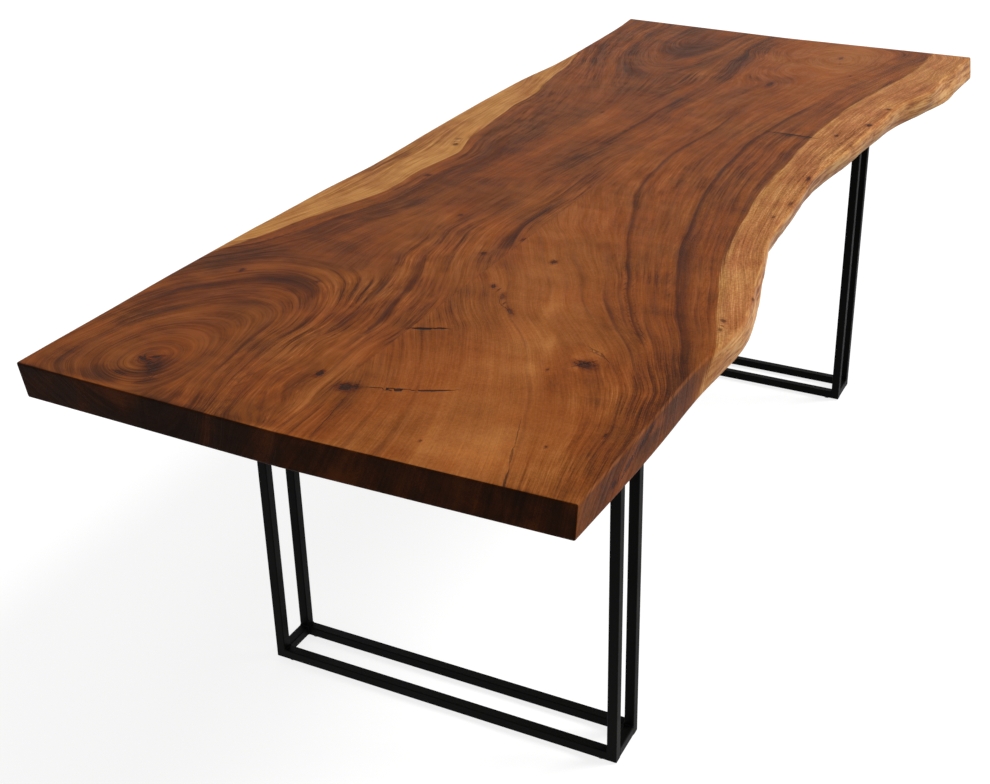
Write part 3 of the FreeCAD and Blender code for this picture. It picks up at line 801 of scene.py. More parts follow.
# %% Checks
CHECKS = {
    "left": [],
    "right": [
        (1.3, 1.0, [(-1005, -20), (-988, -70), (-978, -104)]), (3.4, 0.9, [(-996, -62), (-987, -88)]),
        (2.8, 0.9, [(-984, -94), (-970, -124), (-958, -148)]),
        (4.0, 1.0, [(-810, 8), (-803, -14), (-796, -30)]), (3.6, 1.0, [(-797, -22), (-789, -44)]),
        (2.0, 0.6, [(-1194, -342), (-1136, -318), (-1112, -312)]), (2.0, 0.5, [(-1106, -308), (-1062, -292)]),
        (0.8, 0.5, [(-1068, -296), (-1030, -282), (-984, -266)]),
        (0.9, 0.7, [(-1160, -42), (-1100, -34), (-1030, -22)]),
        (1.8, 0.5, [(-796, -314), (-770, -288), (-754, -256)]),
        (1.6, 0.4, [(-786, -304), (-772, -280), (-768, -262)]),
        (1.5, 0.7, [(-830, -262), (-808, -280), (-790, -294)]),
        (1.2, 0.7, [(-802, -258), (-810, -284), (-806, -304)]),
        (1.2, 0.5, [(-708, -110), (-690, -94), (-676, -74), (-652, -60)]),
        (3.4, 0.9, [(340, -190), (340, -245), (336, -304)]), (1.1, 0.45, [(336, -304), (320, -372)]),
    ],
}
print("checks:", sum(map(len, CHECKS.values())))

# %% [markdown]
# No board has one colour: oil sinks deeper here, and the grain lies flatter there. A few small pale ovals
# by the right board's crotch are painted sheen, and a long dark one down its scooped side is painted shade.
# Each row is a soft oval: its place, two radii, an angle, and a tone that is dark below 0 and pale above.

# %% Patches of tone
PATCHES = {
    "left": [
        (-1078, 270, 32, 15, 12, -0.8), (-1088, 292, 64, 50, 12, -0.4), (-1122, 335, 30, 34, 0, -0.7),
        (-722, 290, 60, 26, 100, -0.25), (-900, 350, 340, 130, 0, -0.25), (-690, 415, 120, 40, -35, -0.7),
        (-430, 310, 200, 24, -20, -0.5), (-60, 262, 240, 24, 0, -0.35), (-200, 300, 400, 30, 0, -0.2),
        (-330, 34, 170, 14, 0, -0.4), (60, 175, 500, 70, 0, -0.2), (240, 170, 110, 30, 0, 0.4),
        (500, 130, 160, 60, 0, -0.35), (700, 300, 500, 130, 10, -0.35), (720, 220, 60, 60, 0, 0.25),
        (900, 38, 180, 24, 0, -0.9), (960, 205, 160, 52, 0, -0.7), (940, 400, 260, 20, 3, -0.5),
        (78, 100, 26, 6, 0, 0.6), (100, 40, 400, 26, -2, -0.25), (-950, 28, 160, 12, 0, 0.5),
        (-690, 60, 30, 22, 0, 0.4), (-480, 96, 130, 20, 0, 0.2), (-100, 330, 90, 14, 0, 0.25),
        (560, 84, 40, 14, 0, 0.4), (-640, 290, 80, 70, 0, -0.25), (-250, 200, 260, 50, 0, -0.25),
        (1080, 350, 80, 90, 0, -0.25), (-130, 438, 240, 22, 0, -1.0), (430, 420, 300, 40, 0, -0.15),
        (-1000, 150, 160, 70, 0, -0.1), (50, 235, 110, 18, 0, -0.35), (260, 320, 180, 18, 0, -0.35),
        (60, 90, 120, 18, -6, -0.45), (440, 56, 90, 10, 0, -0.5), (-1000, 225, 140, 30, 0, -0.35),
        (-850, 435, 80, 20, -10, -0.4), (-1020, 82, 60, 10, 0, 0.4), (-610, 96, 130, 18, 12, 0.45),
        (-120, 290, 80, 12, 0, 0.3), (100, 392, 50, 40, 0, 0.35), (-740, 18, 60, 14, 0, -0.3),
        (380, 170, 120, 30, 0, 0.2), (-200, 230, 1500, 400, 0, -0.24), (-1000, 420, 260, 50, 0, -0.12),
        (-1130, 200, 30, 200, 0, -0.25), (-430, 55, 130, 20, 0, 0.45), (-620, 75, 60, 26, 30, 0.35),
        (-880, 232, 60, 20, 0, 0.3), (-688, 240, 14, 80, 0, 0.55), (60, 188, 420, 42, -3, 0.35),
        (-470, 215, 80, 25, 0, 0.35), (330, 150, 150, 26, 0, 0.25), (-60, 285, 110, 14, 0, 0.35),
        (650, 300, 130, 18, 14, 0.45), (80, 388, 40, 24, 0, 0.4), (-420, 398, 110, 12, -10, 0.45),
        (770, 400, 90, 12, 8, 0.4), (1060, 415, 60, 16, 0, 0.5), (-740, 270, 12, 50, 0, -0.2),
        (980, 250, 120, 20, 0, 0.2), (-1000, 42, 60, 12, 0, 0.5), (-420, 116, 80, 12, 6, 0.4),
        (-1132, 276, 12, 20, 0, 0.8), (-1064, 326, 34, 9, 8, 0.45), (-1086, 304, 8, 20, 0, 0.8),
        (-1052, 298, 5, 5, 0, 1.0), (-1030, 292, 16, 12, 0, 0.4), (-1147, 330, 5, 44, 0, 0.8),
        (-1146, 446, 5, 40, 0, -0.9), (-1150, 170, 5, 60, 0, -0.6), (-1156, 34, 5, 26, 0, 0.9),
        (-620, 262, 16, 40, 0, 0.35), (-832, 262, 10, 24, 0, -0.5), (-900, 142, 90, 9, 0, 0.35),
        (420, 30, 60, 14, -10, 0.4), (-700, 200, 30, 30, 45, 0.3),
    ],
    "right": [
        (-1110, -260, 90, 90, 0, 0.85), (-960, -215, 160, 50, 20, 0.3), (-770, -276, 30, 22, 0, 0.7),
        (-810, -180, 90, 50, 30, 0.55), (-650, -155, 60, 14, 20, 0.6), (-830, -290, 40, 16, 0, -0.3),
        (764, -118, 40, 22, 0, -0.3), (688, -84, 40, 14, 0, -0.4), (336, -250, 9, 46, 0, -0.6),
        (822, -455, 34, 8, 0, 1.3), (-900, -412, 220, 28, 0, -0.75), (1000, -170, 160, 90, 0, 0.55),
        (700, -190, 140, 50, -10, 0.3), (100, -230, 420, 60, 0, -0.3), (-600, -310, 200, 36, 26, -0.4),
        (-460, -60, 160, 34, 20, 0.25), (560, -40, 180, 36, 0, -0.5), (-1010, -8, 34, 24, 0, -0.4),
        (900, -290, 240, 22, -8, -0.2), (1070, -322, 80, 26, 0, -0.6), (-1040, -28, 90, 12, 8, -0.3),
        (720, -108, 70, 20, -8, -0.35), (-800, -345, 160, 10, 8, 0.3), (-1000, -130, 220, 90, 0, 0.25),
        (-560, -100, 180, 60, 20, 0.25), (-470, -400, 200, 14, 10, 0.8), (30, -80, 160, 9, 0, 0.35),
        (150, -172, 320, 14, 0, -0.35), (-900, -70, 60, 40, 30, -0.2), (-760, -10, 80, 16, 0, -0.3),
        # the small pale streaky ovals at (-858, -214), (-768, -206) and (-680, -156) are painted sheen
        (200, -130, 500, 60, 0, -0.15), (-858, -214, 24, 14, 20, 0.5), (-768, -206, 34, 7, 18, 0.6),
        (-680, -156, 28, 8, 20, 0.6), (-826, -272, 14, 6, 30, 0.7), (-796, -262, 16, 4, 60, 0.6),
        (-880, -262, 50, 12, 10, -0.3), (-720, -340, 60, 8, 16, 0.35), (450, -330, 60, 10, 0, 0.3),
        (350, -235, 8, 26, 0, 0.5), (785, -404, 26, 8, 0, 0.8), (690, -432, 50, 8, 0, -0.7),
        # the long dark oval at (150, -392), down the scooped side, is painted shade under its overhang
        (150, -392, 240, 12, 0, -0.5), (-1006, -454, 30, 10, 24, 1.7), (-916, -442, 22, 7, 14, 1.2),
        (-890, -447, 14, 5, 0, 0.8), (-950, -452, 190, 26, 0, -0.9), (-1158, -70, 5, 60, 0, 0.5),
        (-1156, -210, 5, 60, 0, 0.4), (-1153, -346, 5, 30, 0, -0.5), (-740, -448, 90, 16, 0, -0.4),
        (-600, -405, 120, 14, 10, 0.55), (-860, -376, 120, 14, 8, -0.5), (370, -380, 80, 14, 0, -0.6),
        (600, -402, 50, 8, -10, -0.4), (-1030, -260, 140, 90, 0, 0.15), (-480, -160, 120, 16, 24, 0.35),
        (700, -190, 200, 60, -14, 0.2), (960, -285, 120, 16, -6, 0.3), (60, -340, 400, 12, 0, -0.2),
        (120, -76, 300, 8, 0, 0.2), (-720, -10, 60, 24, 20, -0.35), (-690, -325, 30, 14, 40, -0.5),
        (560, -50, 60, 40, 0, -0.3), (820, -334, 60, 10, -12, -0.6), (-380, -250, 80, 10, 14, 0.4),
    ],
}
print("patches:", sum(map(len, PATCHES.values())))

# %% [markdown]
# In places the lines stand out, and in others they melt into a calm sheen. The same soft ovals say where,
# with an amount above 0 for more contrast and below 0 for less.

# %% How lively the lines are
LIVELY = {
    "left": [
        (-1000, 130, 280, 70, 0, 1.0), (-620, 150, 200, 60, 12, 0.4), (-740, 300, 60, 110, 0, 0.1),
        (-960, 300, 90, 90, 0, -0.6), (-1100, 305, 30, 44, 0, 1.1), (-1060, 265, 40, 20, 0, 0.6),
        (-660, 230, 60, 70, 0, -0.5), (-250, 200, 200, 60, 0, -0.5), (100, 190, 260, 60, 0, -0.4),
        (-600, 320, 90, 60, 0, -0.5), (760, 220, 120, 70, 0, -0.5), (400, 200, 200, 60, 0, -0.4),
        (980, 210, 180, 90, 0, -0.6), (-130, 436, 260, 30, 0, 0.8),
    ],
    "right": [
        (-1050, -120, 150, 110, 0, -0.35), (-850, -190, 240, 110, 25, -0.7),
        (-900, -370, 160, 40, 8, 0.3), (-1050, -365, 120, 44, 0, 0.6), (-990, -455, 200, 24, 0, -1.2),
        (-540, -130, 220, 90, 25, -0.65), (-560, -350, 160, 30, 12, 0.5),
        (-1000, -240, 200, 90, 15, -0.4), (1000, -170, 200, 100, 0, -0.5), (600, -150, 240, 80, 0, -0.4),
        (-200, -40, 300, 50, 0, -0.3), (-300, -280, 300, 40, 15, 0.4), (0, -200, 240, 30, 0, 0.4),
        (250, -362, 280, 44, 0, 0.8),
    ],
}
print("lively places:", sum(map(len, LIVELY.values())))

# %% [markdown]
# The finish can't read lists, but it can read numbers stored on a mesh's points. A texture image could
# carry them too. Points were chosen because they need no unwrapping and go around every edge.
# A vein is stored as a signed distance, so it stays thin and crisp between points five millimetres apart.

# %% Turning the lists into numbers on the points
FAR_AWAY = 1e9              # more than any distance here
VEIN_TAPER = 130            # mm over which a vein comes and goes along the board
VEIN_BLUR = 12              # mm either side of the y where it stops
VEIN_FADE = (2.0, 3.0)      # half widths out, where its last trace goes
VEIN_GAP = (0.3, 1.2)       # half widths that part two veins, from melting together to both in full
FAINTEST_VEIN = 0.02        # strength under which a vein yields to any other
YIELD = 1e3                 # what is added to the distance of such a faint one


def vein_numbers(veins, sharp_side, x, y, ring):
    """For each point: how far its ring is from the nearest vein, in half widths, and the vein's strength."""
    nearest = np.full(len(x), FAR_AWAY)
    second = np.full(len(x), FAR_AWAY)
    signed = np.zeros(len(x))
    strength = np.zeros(len(x))
    for middle, half_width, x0, x1, y0, y1, dark in veins:
        away = (ring - middle) / half_width * sharp_side
        inside = fade(x, x0, x0 + VEIN_TAPER) * (1 - fade(x, x1 - VEIN_TAPER, x1))
        inside = inside * fade(y, y0 - VEIN_BLUR, y0 + VEIN_BLUR)
        inside = inside * (1 - fade(y, y1 - VEIN_BLUR, y1 + VEIN_BLUR))
        power = dark * inside * (1 - fade(np.abs(away), *VEIN_FADE))
        score = np.abs(away) + np.where(power > FAINTEST_VEIN, 0, YIELD)
        closer = score < nearest
        second = np.where(closer, nearest, np.minimum(second, score))
        nearest = np.where(closer, score, nearest)
        signed = np.where(closer, away, signed)
        strength = np.where(closer, power, strength)
    strength = strength * fade(second - nearest, *VEIN_GAP)
    return np.stack([signed, strength, np.zeros(len(x))], 1)


print("veins to place:", sum(map(len, [*BANDS.values(), *VEINS.values()])))

# %% [markdown]
# Ovals share one sum: a point's place is seen from the oval's middle, turned by its angle and counted in
# radii. A knot keeps that place, so its outline stays sharp. A patch only keeps how strong it is there.

# %% Knots and patches as numbers
KNOT_FADE = (3.0, 4.0)      # radii out, where a knot's last trace goes


def turned(x, y, middle_x, middle_y, long_radius, short_radius, angle):
    """A point's place seen from a middle, turned by the angle and counted in radii."""
    dx, dy = x - middle_x, y - middle_y
    c, s = math.cos(math.radians(angle)), math.sin(math.radians(angle))
    return (dx * c + dy * s) / long_radius, (dy * c - dx * s) / short_radius


def knot_numbers(knots, x, y):
    """For each point: its place in the nearest knot, in radii, and the knot's strength, 0 far from any."""
    result = np.zeros((len(x), 3))
    nearest = np.full(len(x), FAR_AWAY)
    for *shape, strength in knots:
        p, q = turned(x, y, *shape)
        away = np.hypot(p, q)
        closer = away < nearest
        nearest = np.where(closer, away, nearest)
        numbers = np.stack([p, q, strength * (1 - fade(away, *KNOT_FADE))], 1)
        result = np.where(closer[:, None], numbers, result)
    return result


def patch_numbers(patches, x, y):
    """The sum of soft patches at each point."""
    tone = np.zeros(len(x))
    for *shape, amount in patches:
        p, q = turned(x, y, *shape)
        tone += amount * np.exp(-(p * p + q * q))
    return tone


print("ovals to place:", sum(map(len, [*KNOTS.values(), *PATCHES.values(), *LIVELY.values()])))

# %% [markdown]
# A check is a bent line of a few points. Each point of the board finds the nearest stretch of the line and
# keeps the distance, the width there, which tapers to both ends, and how dark it is.

# %% Checks as numbers
CHECK_FADE = (9, 12)      # mm out, where a check's last trace goes


def check_numbers(side, x, y):
    """For each point: its signed distance from the nearest check, and that one's width and darkness."""
    result = np.zeros((len(x), 3))
    nearest = np.full(len(x), FAR_AWAY)
    for half_width, dark, line in CHECKS[side]:
        line = np.array(line, float)
        steps = np.diff(line, axis=0)
        lengths = np.hypot(*steps.T)
        for k, (start, step, length) in enumerate(zip(line[:-1], steps, lengths)):
            dx, dy = x - start[0], y - start[1]
            share = np.clip((dx * step[0] + dy * step[1]) / length ** 2, 0, 1)
            side_on = (dx * step[1] - dy * step[0]) / length
            away = np.hypot(dx - share * step[0], dy - share * step[1])
            done = (lengths[:k].sum() + share * length) / lengths.sum()
            taper = np.sin(math.pi * np.clip(done, 0.02, 0.98)) ** 0.5
            width = half_width * taper * (1 - fade(away, *CHECK_FADE))
            closer = away < nearest
            nearest = np.where(closer, away, nearest)
            numbers = np.stack([np.where(side_on < 0, -away, away), width, np.full(len(x), dark)], 1)
            result = np.where(closer[:, None], numbers, result)
    return result


print("check lines, in straight stretches:", sum(len(line) - 1 for _, _, line in CHECKS["right"]))

# %% [markdown]
# All the numbers come together here. Rings lean as they go down, because the tree tapers, so every mark on
# the top goes on over the edge and down the side as it does in solid wood.

# %% Numbers for one board
RING_PER_DEPTH = 0.40      # how fast the rings lean as the board goes down
TAPER_PER_DEPTH = 0.5      # how far the figure slides along as the board goes down
SAP_PER_DEPTH = 0.35       # how much wider the sapwood gets as the board goes down
SHARP_SIDE = {"left": 1, "right": -1}      # a dark line stops sharply on the side of higher or lower rings
CALM_BELOW = {"left": (0.12, 0.45), "right": (0.05, 0.18)}      # rings per mm, where the figure goes flat
SLOPE_STEP = 2.0           # mm between the two points that a slope is taken from
END_GRAIN_FROM = 1.5       # mm from the end, half way round the arris
SKIN_FROM = 9.0            # mm from the rim, where the sawn face has given way to the skin
FOLD_WIDTH = 12.0          # mm over which y starts to count on down the side
RIM_WIDTH = 3.0            # mm either side of the pale line of wear and painted highlight on a live rim
WEAR_AND_HIGHLIGHT_IN = (2.0, 4.0)       # mm in from a sawn rim, where its wear and painted highlight fade
WEAR_AND_HIGHLIGHT_DOWN = (1.5, 4.0)     # mm down from it, likewise
LEAST_LIVELY = 0.3         # the contrast that the calmest place keeps


def figure_numbers(side, points, box_points, size):
    """Every number that the wood's finish reads, for each point of a board."""
    x, y, z = points.T
    depth = TOP - z
    slid = x - TAPER_PER_DEPTH * depth
    plate = ring_plates[side]
    flat_ring = plate(slid, y)
    slope_x = (plate(slid + SLOPE_STEP, y) - flat_ring) / SLOPE_STEP
    slope_y = (plate(slid, y + SLOPE_STEP) - flat_ring) / SLOPE_STEP
    steep = np.hypot(slope_x, slope_y)
    ring = flat_ring + RING_PER_DEPTH * depth
    share = np.clip(box_points[:, 0] / size[0], 0, 1)
    on_end = np.minimum(box_points[:, 0], size[0] - box_points[:, 0]) < END_GRAIN_FROM
    from_rim = size[1] - box_points[:, 1]
    wild = fade(share, *WILD_FROM[side])
    unfolded = y + OUTWARD[side] * depth * (1 - fade(from_rim, 0, FOLD_WIDTH))
    return {
        "ring": ring,
        "calm": 1 - fade(steep, *CALM_BELOW[side]),
        "fibre": fibre(side, slid, y),
        "sapwood": sapwood(side, x, y) + SAP_PER_DEPTH * depth,
        "band": vein_numbers(BANDS[side], SHARP_SIDE[side], x, y, ring),
        "vein": vein_numbers(VEINS[side], SHARP_SIDE[side], x, y, ring),
        "knot": knot_numbers(KNOTS[side], x, unfolded),
        "check": check_numbers(side, x, y),
        "patch": patch_numbers(PATCHES[side], x, unfolded),
        "lively": np.maximum(LEAST_LIVELY, 1 + patch_numbers(LIVELY[side], x, unfolded)),
        "end": on_end.astype(float),
        "skin": wild * (1 - fade(from_rim, 0, SKIN_FROM)) * np.clip(depth / SKIN_FROM, 0, 1),
        "rim": wild * np.exp(-((depth - from_rim + 1) / RIM_WIDTH) ** 2),
        "hollow": -side_lumps(share, depth),
        "wear_and_highlight": (1 - wild) * (1 - fade(from_rim, *WEAR_AND_HIGHLIGHT_IN)) * (1 - fade(depth, *WEAR_AND_HIGHLIGHT_DOWN)),
    }


print("rings rise by", RING_PER_DEPTH, "for each mm down")

# %% [markdown]
# from_pydata makes a mesh from plain lists of points and faces, and each attribute stores one number, or
# three, for every point. Smooth shading is split only where the mesh turns sharply, at the saw cuts.

# %% The boards as meshes
SHARP_FROM = 50      # degrees between two faces


def mesh_from_net(name, points, faces, numbers):
    """A mesh object from points in mm, with its numbers stored on the points."""
    mesh = bpy.data.meshes.new(name)
    mesh.from_pydata((points * MM).tolist(), [], faces.tolist())
    for key, values in numbers.items():
        kind, field = ("FLOAT_VECTOR", "vector") if values.ndim == 2 else ("FLOAT", "value")
        attribute = mesh.attributes.new(key, kind, "POINT")
        attribute.data.foreach_set(field, values.astype(np.float32).ravel())
    mesh.shade_smooth()
    mesh.set_sharp_from_angle(angle=math.radians(SHARP_FROM))
    return new_object(name, mesh)


boards = {}
for side in ("left", "right"):
    points, faces, box_points, size = board_net(side)
    numbers = figure_numbers(side, points, box_points, size)
    boards[side] = mesh_from_net(f"board_{side}", points, faces, numbers)
    print(side, "board:", len(points), "points,", 2 * len(faces), "triangles")

# %% [markdown]
# ## The wood's finish
# Oiled tropical hardwood: warm brown heartwood with darker bands, straw sapwood, and a soft sheen.
# One group makes streaks that follow the rings. The slab's material places it once for each width of streak.

# %% Group: streaks along the grain
ELSEWHERE = 31.7      # a third coordinate far from the rings' own, so the two noises differ
streaks, given, result = new_group(
    "grain_streaks",
    {"Ring": "Float", "Fibre": "Float", "Calm": "Float", "Place": "Vector", "Width": "Float",
     "Length": "Float"},
    {"Value": "Float"},
)
tree = streaks
zoom = calc(tree, "DIVIDE", METRE, given["Length"])
scaled = add(tree, "ShaderNodeVectorMath", {0: given["Place"], "Scale": zoom}, operation="SCALE")
along, across, _ = split(tree, scaled.outputs[0])
by_ring = calc(tree, "DIVIDE", given["Ring"], given["Width"])
by_fibre = calc(tree, "DIVIDE", given["Fibre"], given["Width"])
ring_noise = noise(tree, join(tree, by_ring, along, across), detail=3.0, roughness=0.6)
fibre_noise = noise(tree, join(tree, by_fibre, along, ELSEWHERE), detail=3.0, roughness=0.6)
mixed = add(tree, "ShaderNodeMix", {0: given["Calm"], 2: ring_noise, 3: fibre_noise}, data_type="FLOAT")
feed(tree, result["Value"], mixed.outputs[0])
print("group:", streaks.name)

# %% [markdown]
# Every knot has the same build, so one group draws them all: the stored numbers say how far a point lies
# from the knot's middle, and a fine noise makes its outline ragged.

# %% Group: a knot
knot_group, given, result = new_group(
    "knot_mark", {"Knot": "Vector", "Place": "Vector"}, {"Core": "Float", "Halo": "Float", "Swirl": "Float"},
)
tree = knot_group
p, q, strength = split(tree, given["Knot"])
length = add(tree, "ShaderNodeVectorMath", {0: join(tree, p, q)}, operation="LENGTH")
wobble = noise(tree, given["Place"], scale=130.0, detail=4.0, roughness=0.65)
away = calc(tree, "MULTIPLY_ADD", wobble, 2.4, calc(tree, "ADD", length.outputs["Value"], -1.2))
core = spread(tree, away, 0.75, 1.2, 1.0, 0.0)
halo = spread(tree, away, 0.7, 2.4, 1.0, 0.0)
swirl = noise(tree, join(tree, times(tree, away, 5.0), 0.0), detail=1.0)
feed(tree, result["Core"], times(tree, core, strength))
feed(tree, result["Halo"], times(tree, halo, strength))
feed(tree, result["Swirl"], swirl)
print("group:", knot_group.name)

# %% [markdown]
# The slab's own material starts with the numbers of its points. From them come streaks of several widths:
# broad ones for the growth of years, fine ones for single years, hairs and dashes for the pores.

# %% Slab material: reading the numbers
slab_wood, tree, shader, place = new_material("oiled_slab")


def read(tree, name, vector=False):
    """A number, or three, from the mesh's points."""
    node = add(tree, "ShaderNodeAttribute", attribute_name=name)
    return node.outputs["Vector" if vector else "Fac"]


NUMBERS = ("ring", "calm", "fibre", "patch", "lively", "sapwood")
ring, calm, fibre_at, patch, lively_at, outside = (read(tree, name) for name in NUMBERS)
place_x, place_y, place_z = split(tree, place)


def streak(width, length, low=0.3, high=0.7):
    """Streaks of that width and length in mm, from 0 to 1."""
    drawn = use_group(tree, streaks, Ring=ring, Fibre=fibre_at, Calm=calm, Place=place,
                      Width=width, Length=length)
    return spread(tree, drawn["Value"], low, high)


broad = streak(30.0, 480.0)
medium = streak(9.0, 230.0)
fine = streak(3.0, 110.0)
hair = streak(1.0, 40.0)
hairline = streak(5.0, 420.0, low=0.60, high=0.72)
dashes = streak(1.2, 34.0)
threads = streak(1.8, 170.0)
stipple = spread(tree, noise(tree, place, scale=210.0, detail=3.0, roughness=0.6), 0.36, 0.64)
mottle = spread(tree, noise(tree, place, scale=11.0, detail=4.0, roughness=0.6), 0.3, 0.7)
busy = spread(tree, noise(tree, place, scale=6.0, detail=2.0), 0.35, 0.65, 0.5, 1.2)
# painted sheen: soft bands across the length, where the ribbon figure would shimmer
ribbon_along = times(tree, place_x, 34.0)
painted_ribbon_sheen = noise(tree, join(tree, calc(tree, "DIVIDE", fibre_at, 60.0), ribbon_along), detail=3.0)
painted_ribbon_sheen = spread(tree, painted_ribbon_sheen, 0.35, 0.65)
print("streaks and clouds:", len(tree.nodes), "nodes")

# %% [markdown]
# Heartwood is the old, dark wood in the middle. Its tone is a sum of streaks, clouds and patches, and two
# close ramps of brown turn that tone into a colour, because one ramp alone looks like printed paper.

# %% Slab material: heartwood
def lean(value, amount, base):
    """Adds a 0 to 1 value to a sum, as much above its middle as below, by the given amount."""
    return calc(tree, "MULTIPLY_ADD", calc(tree, "SUBTRACT", value, 0.5), amount, base)


lines = lean(hair, 0.08, lean(dashes, 0.06, times(tree, hairline, -0.16)))
lines = lean(medium, 0.16, lean(fine, 0.16, lines))
lively = times(tree, busy, lively_at, spread(tree, calm, 0.0, 1.0, 1.0, 0.6))
tone = calc(tree, "MULTIPLY_ADD", lines, lively, 0.5)
flecks = streak(1.5, 16.0, low=0.56, high=0.70)
flecks = times(tree, flecks, spread(tree, lively, 0.9, 1.5, 0.0, 0.14))
tone = calc(tree, "ADD", tone, flecks)
tone = lean(painted_ribbon_sheen, 0.06, lean(mottle, 0.13, lean(hair, 0.04, lean(broad, 0.13, tone))))
right_share = spread(tree, place_y, -0.1, 0.1, 1.0, 0.0)
tone = calc(tree, "MULTIPLY_ADD", right_share, lean(stipple, 0.09, 0.0), tone)
tone = calc(tree, "MULTIPLY_ADD", patch, 0.30, tone)
tawny = ramp(tree, tone, (0.0, (39, 19, 5)), (0.25, (85, 42, 12)), (0.5, (127, 68, 22)),
             (0.72, (150, 88, 39)), (1.0, (180, 117, 60)))
ruddy = ramp(tree, tone, (0.0, (41, 19, 5)), (0.25, (88, 41, 12)), (0.5, (129, 65, 19)),
             (0.72, (152, 85, 35)), (1.0, (182, 113, 55)))
tint = spread(tree, noise(tree, place, scale=7.0, detail=5.0, roughness=0.65), 0.38, 0.62)
heart = blend(tree, tint, tawny, ruddy)
grainy = spread(tree, fine, 0.0, 0.8, 0.6, 1.0)
broken = spread(tree, noise(tree, place, scale=9.0, detail=2.0), 0.36, 0.56, 0.35, 1.0)


def dark_line(name, sway):
    """How dark a band or vein makes the wood: it stops sharply on one side and fades on the other."""
    away, strength, _ = split(tree, read(tree, name, vector=True))
    away = lean(medium, sway, away)
    away = calc(tree, "MAXIMUM", times(tree, away, 1.7), times(tree, away, -0.8))
    shape = calc(tree, "EXPONENT", times(tree, away, away, -1.0))
    whole = calc(tree, "MAXIMUM", broken, spread(tree, strength, 0.75, 0.95))
    return times(tree, strength, grainy, times(tree, shape, whole))


vein_dark = calc(tree, "MAXIMUM", dark_line("vein", 1.0), times(tree, dark_line("band", 0.6), 0.9))
print("with heartwood:", len(tree.nodes), "nodes")

# %% [markdown]
# Sapwood is straw yellow on the left board and rosier on the right one, where it is also more speckled.
# It gets its own sum and its own ramps, and the veins darken what lies under them.

# %% Slab material: sapwood and veins
sap_edge = calc(tree, "ADD", outside, calc(tree, "MULTIPLY_ADD", fine, 5.0, -2.5))
sap_softness = calc(tree, "MULTIPLY_ADD", right_share, -0.62, 1.0)
sap_share = spread(tree, times(tree, sap_edge, sap_softness), -1.0, 2.0)
margin = times(tree, right_share, spread(tree, sap_edge, 3.0, 16.0, 0.11, -0.04))
strands = lean(medium, 0.16, lean(fine, 0.13, lean(hair, 0.10, lean(dashes, 0.10, 0.0))))
left_strands = lean(threads, 0.25, strands)
right_strands = lean(stipple, 0.22, lean(threads, 0.14, times(tree, strands, 1.65)))
rightward = calc(tree, "SUBTRACT", right_strands, left_strands)
strands = calc(tree, "MULTIPLY_ADD", right_share, rightward, left_strands)
strands = times(tree, strands, lively_at)
sap_tone = lean(mottle, 0.22, calc(tree, "ADD", strands, calc(tree, "ADD", margin, 0.56)))
sap_tone = calc(tree, "MULTIPLY_ADD", patch, 0.24, sap_tone)
golden = ramp(tree, sap_tone, (0.0, (106, 58, 22)), (0.35, (150, 96, 44)), (0.65, (181, 127, 66)),
              (1.0, (212, 164, 98)))
rosy = ramp(tree, sap_tone, (0.0, (100, 46, 20)), (0.35, (148, 84, 42)), (0.65, (180, 112, 64)),
            (1.0, (212, 152, 92)))
rosy_share = lean(medium, 0.3, lean(mottle, -0.4, spread(tree, right_share, 0.0, 1.0, 0.1, 0.60)))
rosy_share = calc(tree, "MULTIPLY_ADD", margin, -2.0, rosy_share)
sap = blend(tree, rosy_share, golden, rosy)
colour = blend(tree, sap_share, heart, sap)
vein_dark = times(tree, vein_dark, spread(tree, sap_share, 0.0, 1.0, 1.0, 0.55))
VEIN_SHADE = srgb(134, 113, 94)
colour = blend(tree, vein_dark, colour, blend(tree, 1.0, colour, VEIN_SHADE, how="MULTIPLY"))
print("with sapwood:", len(tree.nodes), "nodes")

# %% [markdown]
# Where the bark was scraped off, the wood is uneven: pale strips of the last layer, pits, and long
# scratches. The mesh has the lumps, and these colours follow them, with painted shade in the hollows.

# %% Slab material: the skin under the bark
LAST_LAYER, PITS = srgb(214, 170, 112), srgb(104, 56, 30)
PALE_RIM, WORN_RIM_HIGHLIGHT = srgb(226, 176, 108), srgb(156, 97, 60)
skin_place = join(tree, times(tree, place_x, 12.0), times(tree, place_y, 18.0), times(tree, place_z, 150.0))
skin_streaks = spread(tree, noise(tree, skin_place, detail=5.0, roughness=0.7), 0.34, 0.66)
# painted shade: the skin is darker where its lumps sink into hollows
skin_tone = lean(skin_streaks, 0.7, calc(tree, "MULTIPLY_ADD", read(tree, "hollow"), -0.06, 0.57))
skin_tone = calc(tree, "MULTIPLY_ADD", patch, 0.25, lean(mottle, 0.30, skin_tone))
low_down = spread(tree, place_z, (TOP - 14) * MM, (TOP - 34) * MM, 0.0, 0.08)
skin_tone = calc(tree, "ADD", skin_tone, low_down)
skin = ramp(tree, skin_tone, (0.0, (106, 62, 42)), (0.35, (158, 102, 64)), (0.65, (198, 138, 84)),
            (1.0, (224, 176, 118)))
scraped = spread(tree, noise(tree, skin_place, scale=0.9, detail=4.0, roughness=0.6), 0.55, 0.62, 0.0, 0.6)
skin = blend(tree, scraped, skin, LAST_LAYER)
pitted = spread(tree, noise(tree, place, scale=34.0, detail=5.0, roughness=0.7), 0.40, 0.32, 0.0, 0.55)
skin = blend(tree, pitted, skin, PITS)
colour = blend(tree, times(tree, read(tree, "skin"), sap_share), colour, skin)
# wear and painted highlight: a broken pale line along the rim of a live side
rim_wear_and_highlight = spread(tree, noise(tree, place, scale=13.0, detail=3.0), 0.46, 0.60, 0.0, 0.5)
rim_wear_and_highlight = times(tree, read(tree, "rim"), sap_share, rim_wear_and_highlight)
colour = blend(tree, rim_wear_and_highlight, colour, PALE_RIM)
